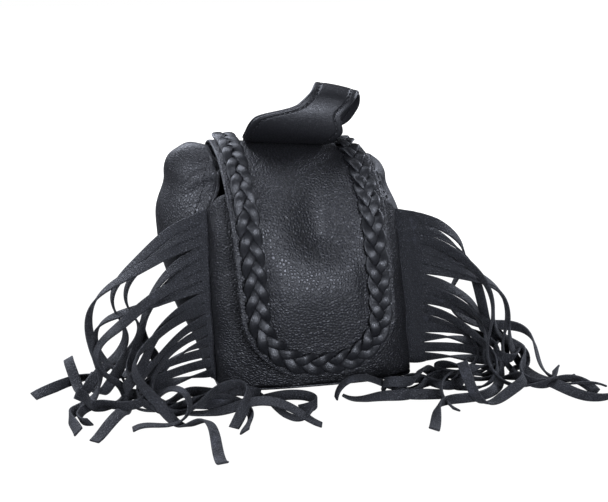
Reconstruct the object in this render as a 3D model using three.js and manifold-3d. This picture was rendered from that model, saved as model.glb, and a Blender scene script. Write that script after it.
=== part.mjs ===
// A small fringed leather pouch: a soft box of sewn leather panels, closed by a
// flap that is edged with a three-strand plait. A stitched strap loops up from
// the top of the flap, and a cut fringe is sewn into each of the front seams.
//
// Millimetres, +Z up. The origin is on the floor under the middle of the bottom
// panel. The front faces -Y, and the wearer's view of the front has +X at right.

import * as THREE from 'three';
import { mergeVertices } from 'three/addons/utils/BufferGeometryUtils.js';
import Module from 'manifold-3d';

const wasm = await Module();
wasm.setup();

// Driving dimensions of the body
const SEAM_WIDTH = 128; // between the two front seams, at the floor
const SEAM_TAPER = 9; // how much closer they are at their top
const SEAM_HEIGHT = 113; // top of the front seams
const SEAM_Y = -24; // the plane that both front seams lie in
const BACK_Y = 34; // outer face of the back panel
const BACK_RISE = 23; // from the top of the seams up to the back panel's top edge
const GUSSET_DROP = 6.5; // from the flap's ridge down to the front of the gussets' top edge
const PUFF_ROUNDNESS = 0.8; // of a gusset's section: 1 is a sine arch, and less is fuller
const MOUTH_DROP = 15; // a gusset's free front edge starts this far below the top of its seam
const MOUTH_SETBACK = 14; // how far that edge leans back at the top
const MOUTH_TUCK = 5; // and how far it is pulled in towards the middle
const BELLY_HEIGHT = 45; // where the front panel stands out furthest
const BELLY_DEPTH = 22; // how far it stands ahead of the seams there
const FRONT_BASE_DEPTH = 16; // the same at the floor
const FRONT_TOP_DEPTH = 11; // and at its top edge
const FRONT_MIDDLE_RISE = 4; // its top edge behind the flap, over the top of the seams
const FRONT_CORNER_RISE = 12; // the same at its two puffed corners
const FRONT_SQUARENESS = 4; // superellipse exponent of the front panel's section
const PANEL = 1.8; // thickness of the panel leather
const CLEARANCE = 0.4; // gap between pieces that are sewn face to face

// The soft bag leans to one side, and that side stands a little higher
const LEAN = 0.074; // shift towards -X for each unit of height
const SAG = 0.00045; // loss of height for each unit towards +X

// Each side of the bag
const SIDES = {
  left: { sign: -1, bulge: 23, header: 8 },
  right: { sign: 1, bulge: 9, header: 14 },
};

// The flap
const FLAP_WIDTH = 98;
const FLAP_CORNER = 44; // radius of its two lower corners
const FLAP_BOTTOM = 11; // height of its lower edge over the floor
const FLAP_TUCK = 2; // how far that edge turns in towards the bag
const FLAP_OUTER = 1.6; // thickness of the outer leather
const FLAP_LINING = 1.2; // thickness of the lining
const LINING_INSET = 1.5; // from the outer leather's edge to the lining's
const FOLD_GAP = 2.4; // from the back panel's top edge up to the fold
const RIDGE_Y = 8; // the flap's highest line
const RIDGE_RISE = 10.5; // height of the ridge over the back panel
const FLAP_SHOULDER = 5; // how far the flap's bend stands off the front panel's top edge
const SNAP_DEPTH = 5.2; // room for the closed snap, between front panel and lining

// The plait along the flap's edge
const STRANDS = 3;
const LACE_WIDTH = 4.4;
const LACE_THICKNESS = 1.5;
const PLAIT_MARGIN = 4; // leather left between the plait and the flap's edge
const PLAIT_START = 9; // from the fold to the ends of the plait, along the flap

// The strap that loops up from the flap
const STRAP_LAYER = 1.5; // thickness of each of its two layers
const STRAP_MARGIN = 3.6; // flap left bare between the strap's foot and the plait
const STRAP_WIDTH = 28; // through the loop
const STRAP_SHIFT = 2; // its foot is this far off the middle
const STRAP_FOOT = [17.5, 9.5]; // where its foot starts and ends, as distances behind the ridge
const STRAP_TILT = THREE.MathUtils.degToRad(9); // how far the loop dips to the right
const TILT_STARTS = [0.12, 0.3]; // the shares of its length where the dip comes in
const TILT_ENDS = [0.7, 0.88]; // and goes out again
const STRAP_TAPER = [0.12, 0.47]; // and where it narrows from its foot

// The fringes
const FRINGE_LEATHER = 1.4;
const FRINGE_STRIPS = 15;
const FRINGE_LENGTH = 185; // length of a strip beyond the header
const FRINGE_BOTTOM = 5; // lowest strip's lower edge, over the floor
const FRINGE_CUT = 1; // width lost to each cut
const FRINGE_TUCK = 3; // how far the header reaches into the seam
const LEVEL_REACH = 18; // a strip stands out this far before it bends down
const ARCH_REACH = 0.6; // and its arch this far again, for each unit of its height
const ARCH_SLOPE = 0.6; // how steeply it starts down
const ARCH_SLACK = 1.1; // length of the arch against the straight way down
const ARCH_BEND = 0.75; // the share of the arch's reach where it turns down
const FAN_START = THREE.MathUtils.degToRad(8); // heading of the top strip, from straight out to the side
const FAN_STEP = THREE.MathUtils.degToRad(5.9); // and each strip below it turns this much more to the front

// The magnetic snap
const SNAP_RADIUS = 8;
const SNAP_PLATE = 1.7; // thickness of the plate on the front panel
const SNAP_NUB_RADIUS = 2.5;
const SNAP_NUB = 1.0;
const SNAP_HOLE_RADIUS = 4.8;

// Sizes that follow from those
const BACK_HEIGHT = SEAM_HEIGHT + BACK_RISE;
const GUSSET_RISE = RIDGE_RISE - GUSSET_DROP; // of their top edge in front, over the back panel's
const FRONT_MIDDLE_HEIGHT = SEAM_HEIGHT + FRONT_MIDDLE_RISE;
const FRONT_CORNER_HEIGHT = SEAM_HEIGHT + FRONT_CORNER_RISE;
const WALL_FOOT = PANEL + 2 * CLEARANCE; // where the walls start, over the bottom panel
const SEAM_HALF = CLEARANCE + FRINGE_LEATHER / 2; // the fringe lies in the seam between the panels
const PLAIT_SWING = 0.98 * LACE_WIDTH; // how far a strand swings to each side
const PLAIT_RISE = 1.4 * LACE_THICKNESS; // how far a strand rises and dips at the crossings
const PLAIT_PITCH = 8 * LACE_WIDTH; // length in which a strand comes back to the same side
const PLAIT_HALF = PLAIT_SWING + LACE_WIDTH / 2;
const PLAIT_INSET = PLAIT_MARGIN + PLAIT_HALF; // from the flap's edge to the middle of the plait
const STRAP_FOOT_WIDTH = FLAP_WIDTH - 2 * (PLAIT_INSET + PLAIT_HALF + STRAP_MARGIN);
const FRINGE_PITCH = (SEAM_HEIGHT - FRINGE_BOTTOM) / FRINGE_STRIPS;

const lerp = THREE.MathUtils.lerp;
const smoothstep = THREE.MathUtils.smoothstep;

// A smooth curve through values at equal steps, read at a share t of the way along it.
function throughValues(...values) {
  const curve = new THREE.SplineCurve(values.map((value, step) => new THREE.Vector2(step, value)));
  return (t) => curve.getPoint(t).y;
}

// Leathers and metal
const leather = (color, roughness) => new THREE.MeshStandardMaterial({ color, roughness, metalness: 0 });
const PEBBLED = leather(0x1d1d20, 0.5);
const SMOOTH = leather(0x232326, 0.45);
const LACE = leather(0x26272a, 0.42);
const SUEDE = leather(0x2a2b2e, 0.8);
const NICKEL = new THREE.MeshStandardMaterial({ color: 0xb9b9b4, roughness: 0.35, metalness: 1 });

const bag = new THREE.Group();
const body = new THREE.Group();
const flap = new THREE.Group();
bag.add(body, flap);

function addPiece(group, name, geometry, material) {
  const mesh = new THREE.Mesh(geometry, material);
  mesh.name = name;
  group.add(mesh);
}

// Where a point of the upright bag goes when the bag slouches.
function slouch(p) {
  const z = p.z * (1 - SAG * p.x);
  return new THREE.Vector3(p.x - LEAN * z, p.y, z);
}

// Surfaces and solids

// A closed mesh from points and triangles, each triangle given by three point numbers.
function closedMesh(points, triangles) {
  const geometry = new THREE.BufferGeometry().setFromPoints(points);
  geometry.setIndex(triangles);
  geometry.computeVertexNormals();
  return geometry;
}

// A sheet of leather. face(u, v) is its outer face for u and v from 0 to 1, and the
// sheet is thickness deep on the other side of it. Seen from outside, u runs
// to the right and v runs up.
function leatherSheet(face, uSteps, vSteps, thickness) {
  const step = 1e-3;
  const slope = (u, v, du, dv) => face(Math.min(u + du, 1), Math.min(v + dv, 1))
    .sub(face(Math.max(u - du, 0), Math.max(v - dv, 0)));
  const outer = [];
  const inner = [];
  for (let j = 0; j <= vSteps; j++) {
    for (let i = 0; i <= uSteps; i++) {
      const u = i / uSteps;
      const v = j / vSteps;
      const normal = slope(u, v, step, 0).cross(slope(u, v, 0, step)).normalize();
      outer.push(face(u, v));
      inner.push(face(u, v).addScaledVector(normal, -thickness));
    }
  }
  const at = (i, j) => j * (uSteps + 1) + i;
  const under = outer.length;
  const triangles = [];
  const quad = (a, b, c, d) => triangles.push(a, b, c, a, c, d);
  for (let j = 0; j < vSteps; j++) {
    for (let i = 0; i < uSteps; i++) {
      const [a, b, c, d] = [at(i, j), at(i + 1, j), at(i + 1, j + 1), at(i, j + 1)];
      quad(a, b, c, d);
      quad(under + d, under + c, under + b, under + a);
    }
  }
  const rim = (a, b) => quad(b, a, under + a, under + b);
  for (let i = 0; i < uSteps; i++) {
    rim(at(i, 0), at(i + 1, 0));
    rim(at(i + 1, vSteps), at(i, vSteps));
  }
  for (let j = 0; j < vSteps; j++) {
    rim(at(0, j + 1), at(0, j));
    rim(at(uSteps, j), at(uSteps, j + 1));
  }
  return closedMesh([...outer, ...inner], triangles);
}

// A section swept along a route. route(t) gives the centre and the upward direction
// for t from 0 to 1, and the section's points are [across, up] pairs, anticlockwise
// when seen from the route's end.
function sweep(route, section, steps) {
  const points = [];
  const step = 1e-3;
  for (let i = 0; i <= steps; i++) {
    const t = i / steps;
    const { centre, up } = route(t);
    const along = route(Math.min(t + step, 1)).centre.sub(route(Math.max(t - step, 0)).centre).normalize();
    const across = along.clone().cross(up).normalize();
    const lift = across.clone().cross(along);
    for (const [a, b] of section) {
      points.push(centre.clone().addScaledVector(across, a).addScaledVector(lift, b));
    }
  }
  const n = section.length;
  const triangles = [];
  for (let i = 0; i < steps; i++) {
    for (let k = 0; k < n; k++) {
      const [a, b] = [i * n + k, i * n + ((k + 1) % n)];
      triangles.push(a, b + n, b, a, a + n, b + n);
    }
  }
  const last = steps * n;
  for (let k = 1; k < n - 1; k++) {
    triangles.push(0, k, k + 1, last, last + k + 1, last + k);
  }
  return closedMesh(points, triangles);
}

function toSolid(geometry) {
  const bare = geometry.clone();
  for (const name of ['normal', 'uv']) bare.deleteAttribute(name);
  const merged = mergeVertices(bare, 1e-4);
  const vertProperties = new Float32Array(merged.getAttribute('position').array);
  const triVerts = new Uint32Array(merged.index.array);
  return new wasm.Manifold(new wasm.Mesh({ numProp: 3, vertProperties, triVerts }));
}

function toGeometry(solid) {
  const mesh = solid.getMesh();
  const geometry = new THREE.BufferGeometry();
  geometry.setAttribute('position', new THREE.BufferAttribute(new Float32Array(mesh.vertProperties), 3));
  geometry.setIndex(new THREE.BufferAttribute(new Uint32Array(mesh.triVerts), 1));
  geometry.computeVertexNormals();
  return geometry;
}

// Body panels

const seamHalf = (z) => (SEAM_WIDTH - SEAM_TAPER * z / SEAM_HEIGHT) / 2;

// How far the front panel stands ahead of the seams: two parabolas that meet at the belly.
function frontDepth(z) {
  const [end, reach] = z < BELLY_HEIGHT
    ? [FRONT_BASE_DEPTH, BELLY_HEIGHT]
    : [FRONT_TOP_DEPTH, FRONT_MIDDLE_HEIGHT - BELLY_HEIGHT];
  return BELLY_DEPTH - (BELLY_DEPTH - end) * ((z - BELLY_HEIGHT) / reach) ** 2;
}

// The front panel's section is half a superellipse, from the left seam (turn 0) to the right one (turn 1).
function frontSection(turn, z) {
  const angle = Math.PI * (1 - turn);
  const power = 2 / FRONT_SQUARENESS;
  const x = Math.sign(Math.cos(angle)) * Math.abs(Math.cos(angle)) ** power * seamHalf(z);
  return new THREE.Vector3(x, SEAM_Y - SEAM_HALF - frontDepth(z) * Math.sin(angle) ** power, z);
}

// Its top edge runs from the seams up to the puffed corners and dips behind the flap.
const frontTop = throughValues(
  SEAM_HEIGHT,
  FRONT_CORNER_HEIGHT,
  FRONT_MIDDLE_HEIGHT,
  FRONT_CORNER_HEIGHT,
  SEAM_HEIGHT,
);

addPiece(body, 'front_panel', leatherSheet((u, v) => {
  const z = lerp(WALL_FOOT, frontTop(u), v);
  return slouch(frontSection(u, z));
}, 18, 8, PANEL), PEBBLED);

// How much of its bulge a gusset has, from the floor to its top edge.
const puff = throughValues(0.1, 0.75, 1, 0.5);

// A gusset from the front seam (depth 0) to the back panel (depth 1). Its top edge falls to
// the back panel's, and near the top its front edge is free.
function gussetFace(side, depth, rise) {
  const z = lerp(WALL_FOOT, BACK_HEIGHT + GUSSET_RISE * (1 - depth), rise);
  const free = smoothstep(z, SEAM_HEIGHT - MOUTH_DROP, BACK_HEIGHT + GUSSET_RISE);
  const start = SEAM_Y + SEAM_HALF + MOUTH_SETBACK * free;
  const out = side.bulge * puff(rise) * Math.sin(Math.PI * depth) ** PUFF_ROUNDNESS;
  const x = seamHalf(z) + out - MOUTH_TUCK * free * (1 - depth);
  return slouch(new THREE.Vector3(side.sign * x, lerp(start, BACK_Y - PANEL - CLEARANCE, depth), z));
}

for (const [name, side] of Object.entries(SIDES)) {
  const towardsRight = (u) => (side.sign > 0 ? u : 1 - u);
  const face = (u, v) => gussetFace(side, towardsRight(u), v);
  addPiece(body, `${name}_gusset`, leatherSheet(face, 8, 10, PANEL), SMOOTH);
}

addPiece(body, 'back_panel', leatherSheet((u, v) => {
  const z = lerp(WALL_FOOT, BACK_HEIGHT, v);
  return slouch(new THREE.Vector3(lerp(seamHalf(z), -seamHalf(z), u), BACK_Y, z));
}, 4, 4, PANEL), SMOOTH);

// The bottom panel fills the outline of the walls' feet.
const OUTLINE_STEPS = 20;
const footprint = new THREE.Shape();
for (let i = 0; i <= OUTLINE_STEPS; i++) {
  const p = frontSection(i / OUTLINE_STEPS, 0);
  if (i === 0) footprint.moveTo(p.x, p.y);
  else footprint.lineTo(p.x, p.y);
}
footprint.lineTo(seamHalf(0), BACK_Y);
footprint.lineTo(-seamHalf(0), BACK_Y);
const bottom = new THREE.ExtrudeGeometry(footprint, { depth: PANEL, bevelEnabled: false });
addPiece(body, 'bottom_panel', bottom, SMOOTH);

// The flap's side profile, as [y, z]: from the fold over the ridge, round the shoulder above the
// front panel's top edge, and down the front, where it leaves room for the snap.
const foldLine = new THREE.Vector2(BACK_Y - PANEL / 2, BACK_HEIGHT + FOLD_GAP);
const panelFront = (z) => SEAM_Y - SEAM_HALF - frontDepth(z);
const liningFront = panelFront(BELLY_HEIGHT) - SNAP_DEPTH - FLAP_LINING - CLEARANCE;
const ridgeLine = new THREE.Vector2(RIDGE_Y, BACK_HEIGHT + RIDGE_RISE);
const shoulder = new THREE.Vector2(panelFront(FRONT_MIDDLE_HEIGHT) - FLAP_SHOULDER, FRONT_MIDDLE_HEIGHT + 1);
const snapTop = new THREE.Vector2(liningFront, BELLY_HEIGHT + SNAP_RADIUS);
const between = (a, b, yShare, zShare) => new THREE.Vector2(lerp(a.x, b.x, yShare), lerp(a.y, b.y, zShare));
const flapProfile = new THREE.SplineCurve([
  foldLine,
  between(foldLine, ridgeLine, 0.3, 0.72),
  ridgeLine,
  between(ridgeLine, shoulder, 0.54, 0.25),
  shoulder,
  between(shoulder, snapTop, 0.72, 0.4),
  snapTop,
  new THREE.Vector2(liningFront, BELLY_HEIGHT - SNAP_RADIUS),
  new THREE.Vector2(liningFront + FLAP_TUCK, FLAP_BOTTOM),
]);
flapProfile.arcLengthDivisions = 400;
const FLAP_LENGTH = flapProfile.getLength();

// The flap's outward direction at a distance s from the fold, as [y, z].
function flapNormal(s) {
  const along = flapProfile.getTangentAt(THREE.MathUtils.clamp(s / FLAP_LENGTH, 0, 1));
  return new THREE.Vector3(0, along.y, -along.x);
}

// A point of the flap: x across it, s along it from the fold, and h out of the face that its lining is on.
function onFlap(x, s, h) {
  const p = flapProfile.getPointAt(THREE.MathUtils.clamp(s / FLAP_LENGTH, 0, 1));
  return slouch(new THREE.Vector3(x, p.x, p.y).addScaledVector(flapNormal(s), h));
}

// Half the flap's width: straight sides that end in two round corners.
function flapHalf(s, inset) {
  const into = Math.max(0, s - (FLAP_LENGTH - FLAP_CORNER));
  const radius = FLAP_CORNER - inset;
  return FLAP_WIDTH / 2 - FLAP_CORNER + Math.sqrt(Math.max(0, radius ** 2 - into ** 2));
}

// Rows of the flap: most of them down the straight sides, the rest closing in round the corners.
const CORNER_ROWS = 0.35;
function flapRow(v, inset) {
  const straight = FLAP_LENGTH - FLAP_CORNER;
  if (v <= 1 - CORNER_ROWS) return straight * v / (1 - CORNER_ROWS);
  return straight + (FLAP_CORNER - inset) * Math.sin((v - 1 + CORNER_ROWS) / CORNER_ROWS * Math.PI / 2);
}

function flapSheet(inset, h, thickness, columns, rows) {
  return leatherSheet((u, v) => {
    const s = flapRow(1 - v, inset);
    return onFlap(lerp(-1, 1, u) * flapHalf(s, inset), s, h);
  }, columns, rows, thickness);
}

addPiece(flap, 'flap_outer', flapSheet(0, FLAP_OUTER, FLAP_OUTER, 4, 26), PEBBLED);
addPiece(flap, 'flap_lining', flapSheet(LINING_INSET, -CLEARANCE, FLAP_LINING, 4, 26), SMOOTH);

// The plait follows the flap's outline, inset from its edge, in the flap's own flat plane of x and s.
const plaitLine = new THREE.Path();
{
  const x = FLAP_WIDTH / 2 - PLAIT_INSET;
  const corner = FLAP_WIDTH / 2 - FLAP_CORNER;
  const low = FLAP_LENGTH - FLAP_CORNER;
  const radius = FLAP_CORNER - PLAIT_INSET;
  plaitLine.moveTo(-x, PLAIT_START);
  plaitLine.lineTo(-x, low);
  plaitLine.absarc(-corner, low, radius, Math.PI, Math.PI / 2, true);
  plaitLine.lineTo(corner, low + radius);
  plaitLine.absarc(corner, low, radius, Math.PI / 2, 0, true);
  plaitLine.lineTo(x, PLAIT_START);
}
const PLAIT_TURNS = Math.round(plaitLine.getLength() / PLAIT_PITCH * STRANDS) / STRANDS;

// A strand swings from side to side, and rises and dips twice as often, passing over and under the others.
function plaitStrand(number) {
  const base = FLAP_OUTER + CLEARANCE + LACE_THICKNESS / 2 + PLAIT_RISE;
  return (t) => {
    const phase = 2 * Math.PI * (PLAIT_TURNS * t + number / STRANDS);
    const p = plaitLine.getPointAt(t);
    const along = plaitLine.getTangentAt(t);
    const swing = PLAIT_SWING * Math.sin(phase);
    const x = p.x - along.y * swing;
    const s = p.y + along.x * swing;
    return { centre: onFlap(x, s, base + PLAIT_RISE * Math.sin(2 * phase)), up: flapNormal(s) };
  };
}

const laceSection = [[0.5, 0], [0.3, 0.5], [-0.3, 0.5], [-0.5, 0], [-0.3, -0.5], [0.3, -0.5]]
  .map(([a, b]) => [a * LACE_WIDTH, b * LACE_THICKNESS]);
const PLAIT_STEPS = 10; // for each turn of a strand
for (let number = 0; number < STRANDS; number++) {
  const steps = Math.round(PLAIT_TURNS * PLAIT_STEPS);
  addPiece(flap, `plait_strand_${number + 1}`, sweep(plaitStrand(number), laceSection, steps), LACE);
}

// The flap's ridge is the third of its profile's points, and this far from the fold along the flap.
const ridgeShare = 2 / (flapProfile.points.length - 1);
const RIDGE_AT = flapProfile.getLengths()[ridgeShare * flapProfile.arcLengthDivisions];

// The strap's middle line. Both ends are sewn down behind the ridge, the second on top of the first.
const strapLift = FLAP_OUTER + CLEARANCE + STRAP_LAYER;
const ridge = new THREE.Vector3(0, ridgeLine.x, ridgeLine.y);
const strapFoot = (behind, layers) => {
  const s = RIDGE_AT - behind;
  const p = flapProfile.getPointAt(s / FLAP_LENGTH);
  const lift = strapLift + layers * 2 * (STRAP_LAYER + CLEARANCE);
  return new THREE.Vector3(STRAP_SHIFT, p.x, p.y).addScaledVector(flapNormal(s), lift);
};
const fromRidge = (x, y, z) => ridge.clone().add(new THREE.Vector3(x, y, z));
const strapLine = new THREE.CatmullRomCurve3([
  strapFoot(STRAP_FOOT[0], 0),
  strapFoot(STRAP_FOOT[1], 0),
  fromRidge(3, -1, 4.6),
  fromRidge(6, -10, 10.5),
  fromRidge(14, -18, 16.5),
  fromRidge(24, -21, 25),
  fromRidge(30.5, -17, 32),
  fromRidge(32.5, -10, 35),
  fromRidge(31, -2, 33),
  fromRidge(26, 5.5, 26.5),
  fromRidge(16, 11, 15.5),
  strapFoot(STRAP_FOOT[1], 1),
  strapFoot(STRAP_FOOT[0], 1),
]);

// The direction across the strap: level at its two sewn ends, and dipping to the right in the loop.
function strapAcross(along) {
  const tilt = STRAP_TILT * smoothstep(along, ...TILT_STARTS) * (1 - smoothstep(along, ...TILT_ENDS));
  return new THREE.Vector3(Math.cos(tilt), 0, -Math.sin(tilt));
}

// The strap narrows from its wide foot as it rises, and keeps its width through the fold and down.
function strapFace(u, v) {
  const along = 1 - v;
  const width = lerp(STRAP_FOOT_WIDTH, STRAP_WIDTH, smoothstep(along, ...STRAP_TAPER));
  return strapLine.getPointAt(along).addScaledVector(strapAcross(along), (u - 0.5) * width);
}

function strapLayer(shift) {
  const step = 1e-3;
  return leatherSheet((u, v) => {
    const dv = strapFace(u, Math.min(v + step, 1)).sub(strapFace(u, Math.max(v - step, 0)));
    const normal = strapAcross(1 - v).cross(dv).normalize();
    return slouch(strapFace(u, v).addScaledVector(normal, shift));
  }, 3, 32, STRAP_LAYER - CLEARANCE / 2);
}

addPiece(flap, 'strap_lining', strapLayer(STRAP_LAYER + CLEARANCE), SMOOTH);
addPiece(flap, 'strap_face', strapLayer(-CLEARANCE / 2), SMOOTH);

// The magnetic snap between the front panel and the flap's lining
function disc(radius, height, hole) {
  const outline = new THREE.Shape().absarc(0, 0, radius, 0, 2 * Math.PI);
  if (hole) outline.holes.push(new THREE.Path().absarc(0, 0, hole, 0, 2 * Math.PI, true));
  return new THREE.ExtrudeGeometry(outline, { depth: height, bevelEnabled: false, curveSegments: 12 });
}

// A geometry modelled along +Z, turned to face the front and put at depth y on the belly line.
function onBelly(geometry, y) {
  const place = slouch(new THREE.Vector3(0, y, BELLY_HEIGHT));
  return geometry.rotateX(Math.PI / 2).translate(place.x, place.y, place.z);
}

const plateY = panelFront(BELLY_HEIGHT) - CLEARANCE;
const socketY = plateY - SNAP_PLATE - CLEARANCE;
const socketDepth = SNAP_DEPTH - SNAP_PLATE - 3 * CLEARANCE;
const nub = toSolid(disc(SNAP_NUB_RADIUS, SNAP_PLATE + SNAP_NUB));
const plate = toSolid(disc(SNAP_RADIUS, SNAP_PLATE)).add(nub);
addPiece(body, 'snap_plate', onBelly(toGeometry(plate), plateY), NICKEL);
addPiece(flap, 'snap_socket', onBelly(disc(SNAP_RADIUS, socketDepth, SNAP_HOLE_RADIUS), socketY), NICKEL);

// The fringes

// The cuts between the strips all start from an upright line, at the header's outer edge.
const cutLine = (side) => seamHalf(0) + side.header;

// The header stands out of the seam like a fin, over the whole height of the fringe.
function fringeHeader(side) {
  return leatherSheet((u, v) => {
    const z = lerp(FRINGE_BOTTOM, SEAM_HEIGHT, v);
    const x = lerp(seamHalf(z) - FRINGE_TUCK, cutLine(side), side.sign > 0 ? u : 1 - u);
    return slouch(new THREE.Vector3(side.sign * x, SEAM_Y - FRINGE_LEATHER / 2, z));
  }, 2, 4, FRINGE_LEATHER);
}

// The strips spread like a fan. At a distance from its root a strip tilts this far from flat:
// it is upright at first, and then tilts less and less, overlapping the next one like a shingle.
function shingleTilt(distance) {
  return Math.asin(Math.min(1, (FRINGE_LEATHER + CLEARANCE) / (distance * FAN_STEP + 1e-6)));
}

// A strip leaves the header level, arches down to the floor and lies along it.
function fringeStrip(side, number) {
  const z = SEAM_HEIGHT - FRINGE_PITCH * (number + 0.5);
  const heading = FAN_START + FAN_STEP * number;
  const out = new THREE.Vector3(side.sign * Math.cos(heading), -Math.sin(heading), 0);
  const root = slouch(new THREE.Vector3(side.sign * (cutLine(side) - 1), SEAM_Y, z));
  const arch = ARCH_REACH * root.z;
  const landing = root.clone().addScaledVector(out, LEVEL_REACH + arch).setZ(0);
  const bendReach = LEVEL_REACH / 2 + ARCH_BEND * arch;
  const rest = FRINGE_LENGTH - root.distanceTo(landing) * ARCH_SLACK;
  const line = new THREE.CatmullRomCurve3([
    root,
    root.clone().add(new THREE.Vector3(side.sign * LEVEL_REACH / 2, 0, 0)),
    root.clone().addScaledVector(out, bendReach).setZ(Math.max(0, root.z - ARCH_SLOPE * bendReach)),
    landing,
    landing.clone().addScaledVector(out, rest / 2),
    landing.clone().addScaledVector(out, rest),
  ]);
  const half = [(FRINGE_PITCH - FRINGE_CUT) / 2, FRINGE_LEATHER / 2];
  const section = [[half[0], half[1]], [-half[0], half[1]], [-half[0], -half[1]], [half[0], -half[1]]];
  const route = (t) => {
    const centre = line.getPointAt(t);
    const along = line.getTangentAt(t).multiplyScalar(side.sign);
    const tilt = shingleTilt(Math.hypot(centre.x - root.x, centre.y - root.y));
    centre.z = Math.max(centre.z, half[0] * Math.sin(tilt) + half[1] * Math.cos(tilt));
    const behind = new THREE.Vector3(-along.y, along.x, 0).setLength(Math.sin(tilt));
    return { centre, up: behind.setZ(Math.cos(tilt)) };
  };
  return sweep(route, section, 10);
}

for (const [name, side] of Object.entries(SIDES)) {
  let fringe = toSolid(fringeHeader(side));
  for (let number = 0; number < FRINGE_STRIPS; number++) {
    fringe = fringe.add(toSolid(fringeStrip(side, number)));
  }
  addPiece(body, `${name}_fringe`, toGeometry(fringe), SUEDE);
}

export default bag;
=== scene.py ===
"""The looks of a small black leather pouch with a plaited flap and two long fringes.

Sizes are in millimetres, and add_mesh turns them to the frame's metres. Every sheet of
leather carries a "cut" attribute: where each point lay on the flat hide, in metres, so
that grain and pores follow the leather round its bends.
"""
import logging
import math
from dataclasses import dataclass, field
from enum import Enum

import bpy
import numpy as np
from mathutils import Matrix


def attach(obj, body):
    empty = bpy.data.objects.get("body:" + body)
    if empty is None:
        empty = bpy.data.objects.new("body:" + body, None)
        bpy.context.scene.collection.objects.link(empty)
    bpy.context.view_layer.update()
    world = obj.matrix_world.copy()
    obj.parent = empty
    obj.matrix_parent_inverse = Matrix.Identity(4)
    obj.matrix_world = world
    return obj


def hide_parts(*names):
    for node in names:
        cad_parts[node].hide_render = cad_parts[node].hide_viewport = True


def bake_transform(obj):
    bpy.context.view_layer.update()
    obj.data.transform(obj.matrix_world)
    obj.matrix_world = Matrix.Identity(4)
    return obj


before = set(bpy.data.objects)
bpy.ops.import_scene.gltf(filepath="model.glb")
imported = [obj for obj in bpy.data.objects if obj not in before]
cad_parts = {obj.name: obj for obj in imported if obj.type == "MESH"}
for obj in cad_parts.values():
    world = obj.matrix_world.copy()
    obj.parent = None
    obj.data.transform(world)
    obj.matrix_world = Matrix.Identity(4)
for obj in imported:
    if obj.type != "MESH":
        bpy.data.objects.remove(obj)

Array = np.ndarray
Finish = bpy.types.Material
Piece = bpy.types.Object

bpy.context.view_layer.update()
MM = 0.001
UP = np.array([0.0, 0.0, 1.0])
RIM = 3  # rows of points in a sheet's rounded edge
UNDER_SHIFT = 40.0  # how far the grain of a sheet's underside lies from that of its face
WAVE_SPREAD = (0.7, 1.5)  # shortest and longest wave of a hide's unevenness, to its typical one
LACE_POWERS = (0.8, 0.9)  # of a lace's section, across and through; 1 would be an ellipse
LACE_GRAIN = 3.0  # how far apart the grain lies in a lace's middle and on its face
STITCH_GRID = (5, 6)  # a stitch's rings, and the points of each
LOG = logging.getLogger("pouch")


class Side(Enum):
    """The two sides of the pouch, as the front is seen. The value is the sign of x."""

    LEFT = -1
    RIGHT = 1

    @property
    def label(self) -> str:
        """The side's name in piece and node names."""
        return self.name.lower()


class Body(Enum):
    """The two bodies of the frame: the pouch, and the flap that folds open."""

    BAG = "bag"
    FLAP = "flap"


class Slot(Enum):
    """The record's material slots for leather."""

    PEBBLED = "pebbled_leather"
    SMOOTH = "smooth_leather"
    LACE = "lace_leather"
    FRINGE = "fringe_leather"


class Hold(Enum):
    """How a sheet of leather is held in the pouch."""

    STRETCHED = "stretched"
    GATHERED = "gathered"
    FOLDED = "folded"
    HUNG = "hung"


# Curves and grids


def smoothstep(x: Array, low: float, high: float) -> Array:
    """Eases from 0 at low to 1 at high: t squared times (3 - 2t)."""
    t = np.clip((x - low) / (high - low), 0.0, 1.0)
    return t * t * (3.0 - 2.0 * t)


def bell(x: Array, middle: float, width: float) -> Array:
    """A round bump of height 1: e to the minus square of (x - middle) / width."""
    return np.exp(-(((x - middle) / width) ** 2))


def stacked(*parts: Array) -> Array:
    """Coordinates on a new last axis, each spread to the shape of them all."""
    return np.stack(np.broadcast_arrays(*parts), -1)


def unit(v: Array) -> Array:
    """Vectors scaled to length 1."""
    return v / np.maximum(np.linalg.norm(v, axis=-1, keepdims=True), 1e-12)


def through(points: Array, t: Array) -> Array:
    """A smooth curve through points at equal steps (uniform Catmull-Rom).

    Args:
        points: the points on the first axis, of any shape after it.
        t: where to read the curve, from 0 at the first point to 1 at the last.

    Returns:
        The curve's values, with t's length on the first axis.
    """
    points = np.asarray(points, float)
    place = np.clip(t, 0.0, 1.0) * (len(points) - 1)
    first = np.minimum(place.astype(int), len(points) - 2)
    f = (place - first).reshape((-1,) + (1,) * (points.ndim - 1))
    before = points[np.maximum(first - 1, 0)]
    a, b = points[first], points[first + 1]
    after = points[np.minimum(first + 2, len(points) - 1)]
    leave, arrive = (b - before) / 2, (after - a) / 2
    cubic = 2 * a - 2 * b + leave + arrive
    square = 3 * b - 3 * a - 2 * leave - arrive
    return ((cubic * f + square) * f + leave) * f + a


def ripple(x: Array, y: Array, wave: float, seed: int, count: int = 12) -> Array:
    """Gentle unevenness of a hide: plane waves in seeded directions, added up.

    Args:
        x: flat position across, in mm.
        y: flat position along, in mm.
        wave: typical wave length in mm.
        seed: which unevenness this is.
        count: number of waves.

    Returns:
        Heights of about -1 to 1, in the shape of x.
    """
    lots = np.random.default_rng(seed)
    turn, phase = lots.uniform(0, 2 * math.pi, (2, count))
    lengths = wave * lots.uniform(*WAVE_SPREAD, count)
    way = (np.cos(turn) * x[..., None] + np.sin(turn) * y[..., None]) / lengths
    return np.sin(2 * math.pi * way + phase).sum(-1) / (count / 3)


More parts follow.
